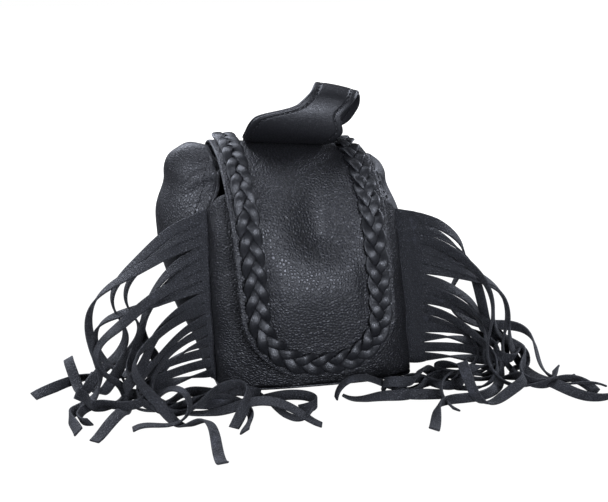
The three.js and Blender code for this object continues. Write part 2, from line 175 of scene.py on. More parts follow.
@dataclass
class Line:
    """A curve held as close points, read by the distance along it."""

    points: Array
    reach: float = 0.5  # to each side of a place whose direction is read

    def __post_init__(self) -> None:
        """Measures the distance from the start to each point."""
        steps = np.linalg.norm(np.diff(self.points, axis=0), axis=1)
        self.far = np.concatenate([[0.0], np.cumsum(steps)])
        self.length = float(self.far[-1])

    def at(self, s: Array) -> Array:
        """Points at the distances s."""
        s = np.clip(s, 0.0, self.length)
        return np.stack([np.interp(s, self.far, c) for c in self.points.T], -1)

    def along(self, s: Array) -> Array:
        """Directions at the distances s."""
        s = np.clip(s, self.reach, self.length - self.reach)
        return unit(self.at(s + self.reach) - self.at(s - self.reach))


def edged(length: float, count: int, edge: float) -> tuple[Array, Array]:
    """Steps across a sheet whose two edges are rounded.

    Args:
        length: size of the sheet in that direction, in mm.
        count: number of even steps between the two rounded edges.
        edge: how far in the rounding reaches, in mm.

    Returns:
        The shares from 0 to 1, and the share of its thickness that the sheet has there:
        the sine of an angle whose cosine is the way left to the full thickness.
    """
    angle = np.linspace(0, math.pi / 2, RIM + 1)
    rim = (1 - np.cos(angle)) * edge / length
    even = np.linspace(rim[-1], 1 - rim[-1], count)
    share = np.concatenate([rim[:-1], even, 1 - rim[-2::-1]])
    full = np.concatenate([np.sin(angle)[:-1], np.ones(count), np.sin(angle)[-2::-1]])
    return share, full


# Meshes


@dataclass
class Shape:
    """Points and flat positions in mm, and faces as rows of point numbers."""

    points: Array
    faces: Array
    cut: Array


@dataclass(frozen=True)
class Stitch:
    """Sewing: from one stitch to the next, and a stitch's length and thickness, in mm."""

    pitch: float
    length: float
    thick: float
    arch: float = 0.35  # how high it bows, to its thickness
    blunt: float = 0.02  # square of the girth that is left at its ends, to that of its middle


def joined(shapes: list[Shape]) -> Shape:
    """Several shapes as one, with their point numbers moved on.

    Args:
        shapes: the shapes.

    Returns:
        One shape with all their points and faces.
    """
    starts = np.cumsum([0] + [len(s.points) for s in shapes[:-1]])
    return Shape(
        np.concatenate([s.points for s in shapes]),
        np.concatenate([s.faces + start for s, start in zip(shapes, starts)]),
        np.concatenate([s.cut for s in shapes]),
    )


def normals_of(grid: Array) -> Array:
    """Unit normals of a grid of points: its slope along columns crossed with that along rows."""
    return unit(np.cross(np.gradient(grid, axis=1), np.gradient(grid, axis=0)))


def quads(number: Array) -> Array:
    """Faces of a grid of points.

    Args:
        number: the points' numbers, rows by columns.

    Returns:
        Four corners for each face, anticlockwise.
    """
    a, b = number[:-1, :-1], number[:-1, 1:]
    c, d = number[1:, 1:], number[1:, :-1]
    return np.stack([a, b, c, d], -1).reshape(-1, 4)


def leather(face: Array, thick: float, full: Array, cut: Array) -> Shape:
    """A closed sheet of leather under its outer face.

    Its middle lies half the thickness under the face, and it swells from nothing at
    its rim to the full thickness inside, so that its edges are round.

    Args:
        face: the outer face, rows by columns; columns run right and rows run up.
        thick: thickness in mm.
        full: share of the thickness at each point, 0 all round the rim.
        cut: flat positions, rows by columns by 2.

    Returns:
        The closed shape, whose two sides share the points of the rim.
    """
    rows, columns = face.shape[:2]
    up = normals_of(face)
    middle = face - up * thick / 2
    swell = up * (thick / 2) * full[..., None]
    inside = np.zeros((rows, columns), bool)
    inside[1:-1, 1:-1] = True
    over = np.arange(rows * columns).reshape(rows, columns)
    under = over.copy()
    under[inside] = rows * columns + np.arange(inside.sum())
    points = np.concatenate([(middle + swell).reshape(-1, 3), (middle - swell)[inside]])
    flat = np.concatenate([cut, np.zeros((rows, columns, 1))], -1)
    flats = np.concatenate([flat.reshape(-1, 3), flat[inside] - UNDER_SHIFT * UP])
    return Shape(points, np.concatenate([quads(over), quads(under)[:, ::-1]]), flats)


def lace(centre: Array, up: Array, width: Array, thick: Array, sides: int = 14) -> Shape:
    """A plump lace: a flattened superellipse carried along a line, closing at both ends.

    Args:
        centre: the line's points.
        up: the direction of the lace's face at each point.
        width: its width at each point.
        thick: its thickness at each point.
        sides: number of points round the section, an even one.

    Returns:
        The closed shape.
    """
    ahead = unit(np.gradient(centre, axis=0))
    across = unit(np.cross(ahead, up))
    lift = np.cross(across, ahead)
    angle = np.linspace(0, 2 * math.pi, sides, endpoint=False)
    a = np.sign(np.cos(angle)) * np.abs(np.cos(angle)) ** LACE_POWERS[0]
    b = np.sign(np.sin(angle)) * np.abs(np.sin(angle)) ** LACE_POWERS[1]
    ring = centre[:, None] + across[:, None] * (a * width[:, None] / 2)[..., None]
    ring = ring + lift[:, None] * (b * thick[:, None] / 2)[..., None]
    flat = stacked(a * width[:, None] / 2, Line(centre).far[:, None], b * LACE_GRAIN)
    number = np.arange(ring.shape[0] * sides).reshape(-1, sides)
    wall = quads(np.concatenate([number, number[:, :1]], 1))[:, ::-1]
    fold = np.arange(sides // 2 - 1)
    cap = np.stack([fold, fold + 1, sides - 2 - fold, sides - 1 - fold], -1)
    ends = np.concatenate([cap, cap[:, ::-1] + number[-1, 0]])
    return Shape(ring.reshape(-1, 3), np.concatenate([wall, ends]), flat.reshape(-1, 3))


def stitches(line: Array, up: Array, stitch: Stitch) -> Shape:
    """A row of sewn stitches: one small slim bead for each pitch along a line.

    Args:
        line: points on the leather's face.
        up: the face's outward direction at each of them.
        stitch: the sewing.

    Returns:
        All stitches as one shape; each is an oval carried along a shallow arch.
    """
    path, face = Line(line), Line(line + up)
    count = max(2, int(path.length / stitch.pitch))
    middle = (np.arange(count) + 0.5) / count
    centre = path.at(middle * path.length)
    ahead = path.along(middle * path.length)
    lift = unit(face.at(middle * face.length) - centre)
    axes = np.stack([ahead, np.cross(ahead, lift), lift], 1)
    rings, sides = STITCH_GRID
    t = np.linspace(-1, 1, rings)
    angle = np.linspace(0, 2 * math.pi, sides, endpoint=False)
    girth = np.sqrt(np.maximum(1 - t * t, stitch.blunt))[:, None] * stitch.thick / 2
    arch = (1 - t * t)[:, None] * stitch.thick * stitch.arch
    bead = stacked(
        t[:, None] * stitch.length / 2, girth * np.cos(angle), arch + girth * np.sin(angle)
    ).reshape(-1, 3)
    points = centre[:, None] + np.einsum("kc,nca->nka", bead, axes)
    number = np.arange(rings * sides).reshape(rings, sides)
    wall = quads(np.concatenate([number, number[:, :1]], 1))
    cap = np.array([[3, 2, 1, 0], [5, 4, 3, 0]])
    one = np.concatenate([wall, cap, cap[:, ::-1] + number[-1, 0]])[:, ::-1]
    faces = (one[None] + number.size * np.arange(count)[:, None, None]).reshape(-1, 4)
    flat = np.broadcast_to(bead, points.shape)
    return Shape(points.reshape(-1, 3), faces, flat.reshape(-1, 3))


def add_mesh(name: str, shape: Shape, finish: Finish) -> Piece:
    """Puts a shape into a smooth-shaded mesh object at the origin, in metres.

    Args:
        name: the object's name.
        shape: its points and faces.
        finish: its material.

    Returns:
        The object, in the scene.
    """
    mesh = bpy.data.meshes.new(name)
    mesh.from_pydata((shape.points * MM).tolist(), [], shape.faces.tolist())
    mesh.polygons.foreach_set("use_smooth", np.ones(len(mesh.polygons), bool))
    flat = mesh.attributes.new("cut", "FLOAT_VECTOR", "POINT")
    flat.data.foreach_set("vector", (shape.cut * MM).astype(np.float32).ravel())
    mesh.materials.append(finish)
    mesh.update()
    piece = bpy.data.objects.new(name, mesh)
    bpy.context.scene.collection.objects.link(piece)
    return piece


def seat(name: str, shape: Shape, finish: Finish, body: Body, slot: Slot, *nodes: str) -> Piece:
    """Adds a piece that rides on a body.

    Args:
        name: the piece's name.
        shape: its points and faces.
        finish: its material.
        body: what it rides on.
        slot: its material slot; not used.
        nodes: the CAD nodes that it stands for.

    Returns:
        The piece.
    """
    piece = add_mesh(name, shape, finish)
    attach(piece, body.value)
    if nodes:
        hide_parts(*nodes)
    LOG.info("%s rides on %s: %d faces", name, body.value, len(shape.faces))
    return piece


# Finishes


def linear(hex_colour: str) -> tuple[float, float, float, float]:
    """Turns an sRGB hex colour linear.

    Args:
        hex_colour: the colour, as "#rrggbb".

    Returns:
        Linear red, green, blue and alpha.
    """
    srgb = np.array([int(hex_colour[i:i + 2], 16) for i in (1, 3, 5)]) / 255
    low, high = srgb / 12.92, ((srgb + 0.055) / 1.055) ** 2.4
    return (*np.where(srgb <= 0.04045, low, high).tolist(), 1.0)


def blank(name: str) -> tuple[Finish, bpy.types.NodeTree, bpy.types.Node]:
    """Makes a material with Blender's usual nodes.

    Args:
        name: the material's name.

    Returns:
        The material, its nodes and its Principled shader.
    """
    made = bpy.data.materials.new(name)
    made.use_nodes = True
    return made, made.node_tree, made.node_tree.nodes["Principled BSDF"]


def add_node(tree: bpy.types.NodeTree, kind: str, settings: dict, inputs: dict) -> bpy.types.Node:
    """Adds a node to a material.

    Args:
        tree: the material's nodes.
        kind: the node's type name.
        settings: the node's own properties.
        inputs: by socket name or number, a value to set or an output socket to link.

    Returns:
        The new node.
    """
    node = tree.nodes.new(kind)
    for key, value in settings.items():
        setattr(node, key, value)
    for key, value in inputs.items():
        if isinstance(value, bpy.types.NodeSocket):
            tree.links.new(value, node.inputs[key])
        else:
            node.inputs[key].default_value = value
    return node


@dataclass(frozen=True)
class Leather:
    """A dyed leather: its pebbles or pores, its colours, and how it shines."""

    name: str
    colour: str  # of the crowns
    crease: str  # painted shade: colour of the creases between the pebbles
    scuff: str  # of rubbed spots
    pebble: float  # width of a pebble or pore in mm
    depth: float  # of the creases in mm
    rough: float
    shine: float  # specular level
    stretch: float = 1.0  # how much longer than wide the pebbles are
    scuffed: float = 0.0  # share of the surface that is rubbed pale
    nap: float = 0.0  # weight of the soft sheen of a napped side
    drift: tuple[float, float] = (0.35, 1.1)  # bends of the outlines: waves and reach, to a pebble
    round_off: float = 0.34  # how far a crease reaches into its pebble
    pores: tuple[float, float] = (3.2, 0.12)  # to a pebble's width, and their share of the height
    patch: float = 22.0  # size of rubbed and of duller patches in mm
    dull: tuple[float, float] = (0.16, 0.14)  # added roughness of the creases, and of patches
    rub_start: float = 0.72  # patch height where rubbing starts on a leather with none
    rub_reach: float = 0.3  # how much lower it starts on one that is rubbed all over
    rub_full: float = 0.8  # patch height where rubbing is full
    rub_gain: float = 2.5  # paleness of a rubbed spot, to the rubbed share

    def build(self) -> Finish:
        """Makes the material: pebbles on the flat hide give colour, roughness and bump; the creases
        between them take painted shade.

        Returns:
            The material.
        """
        made, tree, shader = blank(self.name)
        wide = self.pebble * MM
        flat = add_node(tree, "ShaderNodeAttribute", {"attribute_name": "cut"}, {}).outputs["Vector"]
        drift = add_node(tree, "ShaderNodeTexNoise", {}, {
            "Vector": flat, "Scale": self.drift[0] / wide, "Detail": 2.0, "Roughness": 0.6})
        sway = add_node(tree, "ShaderNodeVectorMath", {"operation": "SCALE"}, {
            0: drift.outputs["Color"], "Scale": self.drift[1] * wide})
        moved = add_node(tree, "ShaderNodeVectorMath", {"operation": "ADD"}, {
            0: flat, 1: sway.outputs["Vector"]})
        drawn = add_node(tree, "ShaderNodeVectorMath", {"operation": "MULTIPLY"}, {
            0: moved.outputs["Vector"], 1: (1.0, 1.0 / self.stretch, 1.0)})
        cells = add_node(tree, "ShaderNodeTexVoronoi", {"feature": "DISTANCE_TO_EDGE"}, {
            "Vector": drawn.outputs["Vector"], "Scale": 1.0 / wide, "Randomness": 0.9})
        crown = add_node(tree, "ShaderNodeMapRange", {"interpolation_type": "SMOOTHERSTEP"}, {
            "Value": cells.outputs["Distance"], "From Min": 0.0, "From Max": self.round_off})
        pores = add_node(tree, "ShaderNodeTexNoise", {}, {
            "Vector": flat, "Scale": self.pores[0] / wide, "Detail": 3.0})
        broad = add_node(tree, "ShaderNodeTexNoise", {}, {
            "Vector": flat, "Scale": 1.0 / (self.patch * MM), "Detail": 4.0, "Roughness": 0.65})
        # Painted shade: the creases between the pebbles take the darker crease colour, the crowns the
        # leather's own colour.
        tone = add_node(tree, "ShaderNodeMix", {"data_type": "RGBA"}, {
            "Factor": crown.outputs["Result"], "A": linear(self.crease), "B": linear(self.colour)})
        worn = add_node(tree, "ShaderNodeMapRange", {"interpolation_type": "SMOOTHSTEP"}, {
            "Value": broad.outputs["Fac"],
            "From Min": self.rub_start - self.rub_reach * self.scuffed, "From Max": self.rub_full,
            "To Max": min(1.0, self.rub_gain * self.scuffed)})
        rubbed = add_node(tree, "ShaderNodeMix", {"data_type": "RGBA"}, {
            "Factor": worn.outputs["Result"], "A": tone.outputs["Result"], "B": linear(self.scuff)})
        tree.links.new(rubbed.outputs["Result"], shader.inputs["Base Color"])
        dull = add_node(tree, "ShaderNodeMapRange", {}, {
            "Value": crown.outputs["Result"], "To Min": min(1.0, self.rough + self.dull[0]),
            "To Max": self.rough})
        patchy = add_node(tree, "ShaderNodeMath", {"operation": "MULTIPLY_ADD"}, {
            0: broad.outputs["Fac"], 1: self.dull[1], 2: dull.outputs["Result"]})
        even = add_node(tree, "ShaderNodeMath", {"operation": "SUBTRACT"}, {
            0: patchy.outputs[0], 1: self.dull[1] / 2})
        tree.links.new(even.outputs[0], shader.inputs["Roughness"])
        height = add_node(tree, "ShaderNodeMath", {"operation": "MULTIPLY_ADD"}, {
            0: pores.outputs["Fac"], 1: self.pores[1], 2: crown.outputs["Result"]})
        bump = add_node(tree, "ShaderNodeBump", {}, {
            "Height": height.outputs[0], "Distance": self.depth * MM, "Strength": 1.0})
        tree.links.new(bump.outputs["Normal"], shader.inputs["Normal"])
        shader.inputs["Specular IOR Level"].default_value = self.shine
        shader.inputs["IOR"].default_value = 1.5
        shader.inputs["Sheen Weight"].default_value = self.nap
        shader.inputs["Sheen Roughness"].default_value = 0.55
        return made


# In each leather below, the second colour is painted shade in the creases between its pebbles or
# pores.
# Milled cowhide: tumbled until it creases into pebbles, so light breaks into small soft glints.
PEBBLED = Leather("milled_pebble_leather", "#1d1d22", "#050506", "#2c2c31", 2.0, 0.29, 0.42, 0.78)
# The same hide where it is pulled round the front's roll: broader pebbles, wider than long.
ROLLED = Leather("milled_roll_leather", "#1b1b1f", "#050506", "#2a2a2f", 2.3, 0.28, 0.41, 0.7, 0.7)
# Plain garment hide: fine pores and a soft even sheen, greyer where it is rubbed.
SMOOTH = Leather(
    "fine_grain_leather", "#18181b", "#0f0f11", "#28282c", 0.9, 0.045, 0.34, 0.6, 1.0, 0.12)
# Lighter garment hide of the sides: small soft pebbles, drawn out where it is pulled over.
GARMENT = Leather(
    "garment_side_leather", "#1a1a1e", "#08080a", "#2b2b30", 1.6, 0.14, 0.36, 0.65, 1.2, 0.1)
# Plain hide cut to lace and pulled tight: brighter on the crowns against painted shade in the
# creases, pale where it is chafed.
LACE = Leather(
    "plaiting_lace_leather", "#1d1e21", "#0d0d0f", "#48484b", 1.0, 0.06, 0.34, 0.65, 2.0, 0.2)
# Soft split strips: a napped matte face that takes the light evenly.
FRINGE = Leather(
    "suede_fringe_leather", "#222328", "#0f1013", "#45464d", 1.3, 0.32, 0.55, 0.5, 1.3, 0.45, 0.06)


@dataclass(frozen=True)
class Thread:
    """Waxed sewing thread: twisted, dark and slightly glossy."""

    name: str = "waxed_thread"
    colour: str = "#17171a"
    groove: str = "#0c0c0d"  # painted shade between the plies
    twist: float = 0.5  # mm from one ply to the next
    depth: float = 0.05  # of the grooves in mm
    rough: float = 0.45

    def build(self) -> Finish:
        """Makes the material: slanting bands for the plies give tone and bump; the grooves between
        them take painted shade.

        Returns:
            The material.
        """
        made, tree, shader = blank(self.name)
        flat = add_node(tree, "ShaderNodeAttribute", {"attribute_name": "cut"}, {}).outputs["Vector"]
        plies = add_node(tree, "ShaderNodeTexWave", {"bands_direction": "DIAGONAL"}, {
            "Vector": flat, "Scale": 0.3 / (self.twist * MM)})
        # Painted shade: the grooves between the plies take the darker groove colour.
        tone = add_node(tree, "ShaderNodeMix", {"data_type": "RGBA"}, {
            "Factor": plies.outputs["Fac"], "A": linear(self.groove), "B": linear(self.colour)})
        tree.links.new(tone.outputs["Result"], shader.inputs["Base Color"])
        bump = add_node(tree, "ShaderNodeBump", {}, {
            "Height": plies.outputs["Fac"], "Distance": self.depth * MM})
        tree.links.new(bump.outputs["Normal"], shader.inputs["Normal"])
        shader.inputs["Roughness"].default_value = self.rough
        return made


@dataclass(frozen=True)
class Nickel:
    """Nickel-plated stampings: grey metal with fine drawn scratches."""

    name: str = "nickel_plate"
    colour: str = "#bdbcb6"
    scratch: float = 0.4  # mm
    rough: tuple[float, float] = (0.22, 0.42)

    def build(self) -> Finish:
        """Makes the material: noise drawn out in one direction roughens the metal.

        Returns:
            The material.
        """
        made, tree, shader = blank(self.name)
        place = add_node(tree, "ShaderNodeTexCoord", {}, {}).outputs["Object"]
        drawn = add_node(tree, "ShaderNodeMapping", {}, {"Vector": place, "Scale": (1.0, 1.0, 0.1)})
        marks = add_node(tree, "ShaderNodeTexNoise", {}, {
            "Vector": drawn.outputs["Vector"], "Scale": 1.0 / (self.scratch * MM), "Detail": 3.0})
        rough = add_node(tree, "ShaderNodeMapRange", {}, {
            "Value": marks.outputs["Fac"], "To Min": self.rough[0], "To Max": self.rough[1]})
        tree.links.new(rough.outputs["Result"], shader.inputs["Roughness"])
        shader.inputs["Base Color"].default_value = linear(self.colour)
        shader.inputs["Metallic"].default_value = 1.0
        return made


# The pouch's form


@dataclass(frozen=True)
class Form:
    """The sizes that several pieces share, in mm, and the way the soft pouch slouches."""

    seam_width: float = 128.0
    seam_taper: float = 9.0
    seam_height: float = 113.0
    seam_y: float = -24.0
    seam_gap: float = 1.1
    back_y: float = 34.0
    back_height: float = 136.0
    belly_height: float = 45.0
    belly_depth: float = 22.0
    base_depth: float = 16.0
    top_depth: float = 11.0
    middle_height: float = 117.0
    squareness: float = 2.8
    panel: float = 1.8
    foot: float = 2.6
    lean: float = 0.074
    sag: float = 0.00045

    def seam_half(self, z: Array) -> Array:
        """Half the width between the front seams at a height."""
        return (self.seam_width - self.seam_taper * z / self.seam_height) / 2

    def front_depth(self, z: Array) -> Array:
        """How far the front stands ahead of the seams: two parabolas that meet at the belly.

        Args:
            z: heights.

        Returns:
            Depths at the front's middle.
        """
        low = z < self.belly_height
        end = np.where(low, self.base_depth, self.top_depth)
        reach = np.where(low, self.belly_height, self.middle_height - self.belly_height)
        return self.belly_depth - (self.belly_depth - end) * ((z - self.belly_height) / reach) ** 2

    def front_y(self, z: float) -> float:
        """Where the front's middle is at a height, from front to back."""
        return self.seam_y - self.seam_gap - float(self.front_depth(np.array(z)))

    def slouch(self, p: Array) -> Array:
        """Where points of the upright pouch go: lower towards +x, and over to -x with height."""
        z = p[..., 2] * (1 - self.sag * p[..., 0])
        return np.stack([p[..., 0] - self.lean * z, p[..., 1], z], -1)


FORM = Form()


@dataclass
class FrontPanel:
    """The pebbled front: half a superellipse in section, with a turned hem along its top."""

    columns: int = 110
    rows: int = 76
    fine: int = 4001  # points that its outline is measured with
    edge: float = 1.2  # how far in its edges are rounded
    hem_radius: float = 2.3
    hem_drop: float = 7.0
    hem_turns: int = 10
    hem_rows: int = 8
    tops: tuple[float, ...] = (112.0, 120.5, 116.0, 121.0, 112.0)  # of its edge, seam to seam
    uneven: float = 0.5
    wave: tuple[float, int] = (30.0, 3)  # length and seed of its unevenness
    press: float = 7.0  # how far the flap's dent presses it in
    press_across: tuple[float, float] = (7.0, 19.0)  # the press's middle and half width
    press_up: tuple[float, float] = (62.0, 102.0)  # heights where it begins and is full

    def section(self, turn: Array, z: Array) -> Array:
        """The front's outline: a superellipse round the seam line.

        Args:
            turn: from the left seam (0) to the right one (1).
            z: heights.

        Returns:
            Upright points.
        """
        angle = math.pi * (1 - turn)
        power = 2 / FORM.squareness
        x = np.sign(np.cos(angle)) * np.abs(np.cos(angle)) ** power * FORM.seam_half(z)
        ahead = FORM.front_depth(z) * np.maximum(np.sin(angle), 0) ** power
        return stacked(x, FORM.seam_y - FORM.seam_gap - ahead, z)

    def hem(self, top: Array) -> tuple[Array, Array]:
        """The turned hem: half a circle inwards from the top edge, then straight down.

        Args:
            top: the wall's top row.

        Returns:
            The hem's rows, and the share of the thickness that each has.
        """
        inward = -unit(np.cross(np.gradient(top, axis=0), UP) * [1, 1, 0])
        angle = np.linspace(0, math.pi, self.hem_turns + 1)[1:]
        drop, full = edged(2 * self.hem_drop, self.hem_rows, self.edge)
        half = len(drop) // 2
        drop = drop[half:] - drop[half - 1]
        straight = np.full(len(drop), 2 * self.hem_radius)
        roll = np.concatenate([self.hem_radius * (1 - np.cos(angle)), straight])
        rise = np.concatenate([self.hem_radius * np.sin(angle), -drop * 2 * self.hem_drop])
        rows = top + inward * roll[:, None, None] + rise[:, None, None] * UP
        return rows, np.concatenate([np.ones(len(angle)), full[half:]])

    def build(self, finish: Finish) -> Piece:
        """Makes the panel: the wall up to its top edge, then the hem.

        Args:
            finish: its leather.

        Returns:
            The panel.
        """
        dense = np.linspace(0, 1, self.fine)
        outline = Line(self.section(dense, np.full_like(dense, FORM.belly_height)))
        share, full_x = edged(outline.length, self.columns, self.edge)
        turn = np.interp(share, outline.far / outline.length, dense)
        up, full_z = edged(FORM.middle_height, self.rows, self.edge)
        up, full_z = up[:-RIM], full_z[:-RIM]
        top = through(np.array(self.tops), turn)
        z = FORM.foot + up[:, None] / up[-1] * (top - FORM.foot)
        wall = self.section(turn[None], z)
        hem, full_hem = self.hem(wall[-1])
        face = np.concatenate([wall, hem])
        full = np.concatenate([full_z, full_hem])[:, None] * full_x
        y = np.concatenate([z.mean(1), FORM.middle_height + np.arange(len(hem))])
        cut = stacked(share * outline.length, y[:, None])
        soft = ripple(cut[..., 0], cut[..., 1], *self.wave) * self.uneven
        press = self.press * bell(face[..., 0], *self.press_across)
        press = press * smoothstep(face[..., 2], *self.press_up)
        face = face + normals_of(face) * (soft * full)[..., None] + press[..., None] * [0, 1.0, 0]
        face = FORM.slouch(face)
        shape = leather(face, FORM.panel, full, cut)
        piece = seat("pebbled_front", shape, finish, Body.BAG, Slot.PEBBLED, "front_panel")
        return piece


@dataclass
class Flap:
    """The hide that is the back of the pouch, folds over its top and hangs down as the flap."""

    width: float = 98.0
    corner: float = 44.0
    outer: float = 1.6  # from the flap's inner line to its outer face
    hide: float = 1.7  # the hide's thickness
    lining: float = 1.2
    inset: float = 1.5  # of the lining's edge
    fold: tuple[float, float] = (33.1, 138.4)  # y and z
    ridge: tuple[float, float] = (8.0, 146.5)  # y and z
    shoulder: tuple[float, float] = (5.0, 1.0)  # ahead of the front's top edge, and over it
    between: tuple[tuple[float, float], ...] = (  # shares of the way, in y and z: from the fold
        (0.3, 0.72), (0.54, 0.25), (0.72, 0.4))  # to the ridge, then the shoulder, then the snap
    fine: int = 1601  # points of the profile
    snap_depth: float = 5.2
    snap_radius: float = 8.0
    bottom: float = 11.0
    tuck: float = 2.0
    gap: float = 0.4
    ease: float = 0.4  # more room for the lining where the hide bends
    starts: tuple[float, float] = (8.0, 10.0)  # of hide's and lining's even rows, from the fold
    columns: int = 84
    straight_rows: int = 84
    corner_rows: int = 33
    back_rows: int = 44
    bend_rows: int = 10
    edge: float = 1.2  # how far in the lower edge is rounded
    side_edge: float = 1.1  # and the sides
    lip: float = 0.9  # how far the back reaches over the gussets' edges
    bend_start: float = 126.0  # height where the back starts to bend
    bend_pull: tuple[float, float] = (22.0, 16.0)  # how hard back and flap draw the bend straight
    narrowing: tuple[float, float] = (127.0, 142.0)  # heights where it narrows to the flap
    back_wave: tuple[float, int] = (48.0, 8)  # length and seed of the back's unevenness
    back_uneven: float = 0.6
    dent: tuple[float, float] = (7.0, 104.0)  # across and along, where the leather sags in
    dent_depth: float = 9.5
    dent_width: float = 16.0
    dent_length: tuple[float, float] = (36.0, 12.0)  # above and below its deepest place
    belly: tuple[float, float] = (-2.0, 34.0)  # across, and along from the dent
    belly_size: tuple[float, float] = (36.0, 21.0)
    belly_rise: float = 5.5
    border: tuple[float, float] = (13.0, 27.0)  # from the edge: held by the plait, and free
    wave: tuple[float, int] = (46.0, 21)  # length and seed of the flap's unevenness
    uneven: float = 0.35
    uneven_from: tuple[float, float] = (20.0, 50.0)
    line: Line = field(init=False)

    def __post_init__(self) -> None:
        """Lays the flap's side profile, as y and z, from the fold to its lower edge."""
        inner = FORM.front_y(FORM.belly_height) - self.snap_depth - self.lining - self.gap
        fold, ridge = np.array(self.fold), np.array(self.ridge)
        top = FORM.middle_height
        shoulder = np.array([FORM.front_y(top) - self.shoulder[0], top + self.shoulder[1]])
        snap = np.array([inner, FORM.belly_height + self.snap_radius])
        points = [
            fold,
            fold + (ridge - fold) * self.between[0],
            ridge,
            ridge + (shoulder - ridge) * self.between[1],
            shoulder,
            shoulder + (snap - shoulder) * self.between[2],
            snap,
            (inner, FORM.belly_height - self.snap_radius),
            (inner + self.tuck, self.bottom),
        ]
        self.line = Line(through(np.array(points), np.linspace(0, 1, self.fine)))

    def out(self, s: Array) -> Array:
        """The flap's outward direction at distances s from the fold."""
        along = self.line.along(s)
        return np.stack([np.zeros_like(along[..., 0]), along[..., 1], -along[..., 0]], -1)

    def on(self, x: Array, s: Array, h: Array) -> Array:
        """Upright points of the flap.

        Args:
            x: places across.
            s: distances from the fold.
            h: heights out of its inner face.

        Returns:
            The points, with the flap's slack.
        """
        x, s, h = np.broadcast_arrays(x, s, h)
        p = self.line.at(s.ravel()).reshape(s.shape + (2,))
        base = np.stack([x, p[..., 0], p[..., 1]], -1)
        n = self.out(s.ravel()).reshape(s.shape + (3,))
        return base + n * (h + self.slack(x, s))[..., None]

    def underside(self, x: Array, y: Array) -> Array:
        """Height of the lining's lower face over the pouch's mouth.

        Args:
            x: places across.
            y: places from front to back.

        Returns:
            Heights, lower where the flap sags.
        """
        high = self.line.points[:, 1] > FORM.middle_height
        top, far = self.line.points[high][::-1], self.line.far[high][::-1]
        sunk = np.minimum(self.slack(x, np.interp(y, top[:, 0], far)), 0)
        return np.interp(y, top[:, 0], top[:, 1]) + sunk - self.gap - self.ease - self.lining

    def slack(self, x: Array, s: Array) -> Array:
        """How the soft leather leaves its plain profile: a dent, a belly under it and slow waves.

        Args:
            x: places across.
            s: distances from the fold.

        Returns:
            Heights out of the profile, nothing along the edge.
        """
        across, along = self.dent
        inside = smoothstep(self.half(s, 0.0) - np.abs(x), *self.border)
        steep = np.where(s > along, self.dent_length[1], self.dent_length[0])
        dent = bell(x, across, self.dent_width) * bell(s, along, steep)
        belly = bell(x, self.belly[0], self.belly_size[0])
        belly = belly * bell(s, along + self.belly[1], self.belly_size[1])
        waves = ripple(x, s, *self.wave) * self.uneven * smoothstep(s, *self.uneven_from)
        return inside * (self.belly_rise * belly - self.dent_depth * dent + waves)

    def half(self, s: Array, inset: float) -> Array:
        """Half the flap's width: straight sides that end in two round corners.

        Args:
            s: distances from the fold.
            inset: how far in from the flap's edge.

        Returns:
            The half widths.
        """
        into = np.maximum(0, s - (self.line.length - self.corner))
        radius = self.corner - inset
        return self.width / 2 - self.corner + np.sqrt(np.maximum(0, radius**2 - into**2))

    def rows(self, start: float, inset: float) -> tuple[Array, Array]:
        """Where the flap's rows are: closer round the corners.

        Args:
            start: the first row, from the fold.
            inset: how far in from the flap's edge the last one is.

        Returns:
            Distances from the fold, and the share of the thickness at each.
        """
        straight = self.line.length - self.corner
        radius = self.corner - inset
        turn = np.linspace(0, math.pi / 2, self.corner_rows + 1)[1:]
        even = np.linspace(start, straight, self.straight_rows)
        s = np.concatenate([even, straight + radius * np.sin(turn)])
        end = np.clip((s[-1] - s) / self.edge, 0, 1)
        return s, np.sqrt(1 - (1 - end) ** 2)

    def across(self, half: Array) -> tuple[Array, Array]:
        """Places across the sheet for each row's half width, and the fullness of its columns."""
        share, full = edged(self.width, self.columns, self.side_edge)
        return (2 * share - 1) * half[:, None], full

    def rear(self, s: Array) -> tuple[Array, Array]:
        """The back's profile: straight up, then a cubic bend that runs on into the flap.

        Args:
            s: the flap's rows.

        Returns:
            Rows as y and z, and the share of the thickness at each.
        """
        z, full = edged(FORM.back_height, self.back_rows, self.edge)
        z = (FORM.foot + z * (self.bend_start - FORM.foot))[:-RIM]
        t = np.linspace(0, 1, self.bend_rows + 2)[1:-1, None]
        first = self.on(np.zeros(1), s[:1], self.outer)[0, 1:]
        leave = np.array([0, self.bend_pull[0]])
        arrive = self.line.along(s[:1])[0] * self.bend_pull[1]
        begin = np.array([FORM.back_y, z[-1]])
        bend = (2 * t**3 - 3 * t**2 + 1) * begin + (t**3 - 2 * t**2 + t) * leave
        bend = bend + (3 * t**2 - 2 * t**3) * first + (t**3 - t**2) * arrive
        rows = np.concatenate([stacked(np.array(FORM.back_y), z), bend])
        return rows, np.concatenate([full[:-RIM], np.ones(len(bend))])

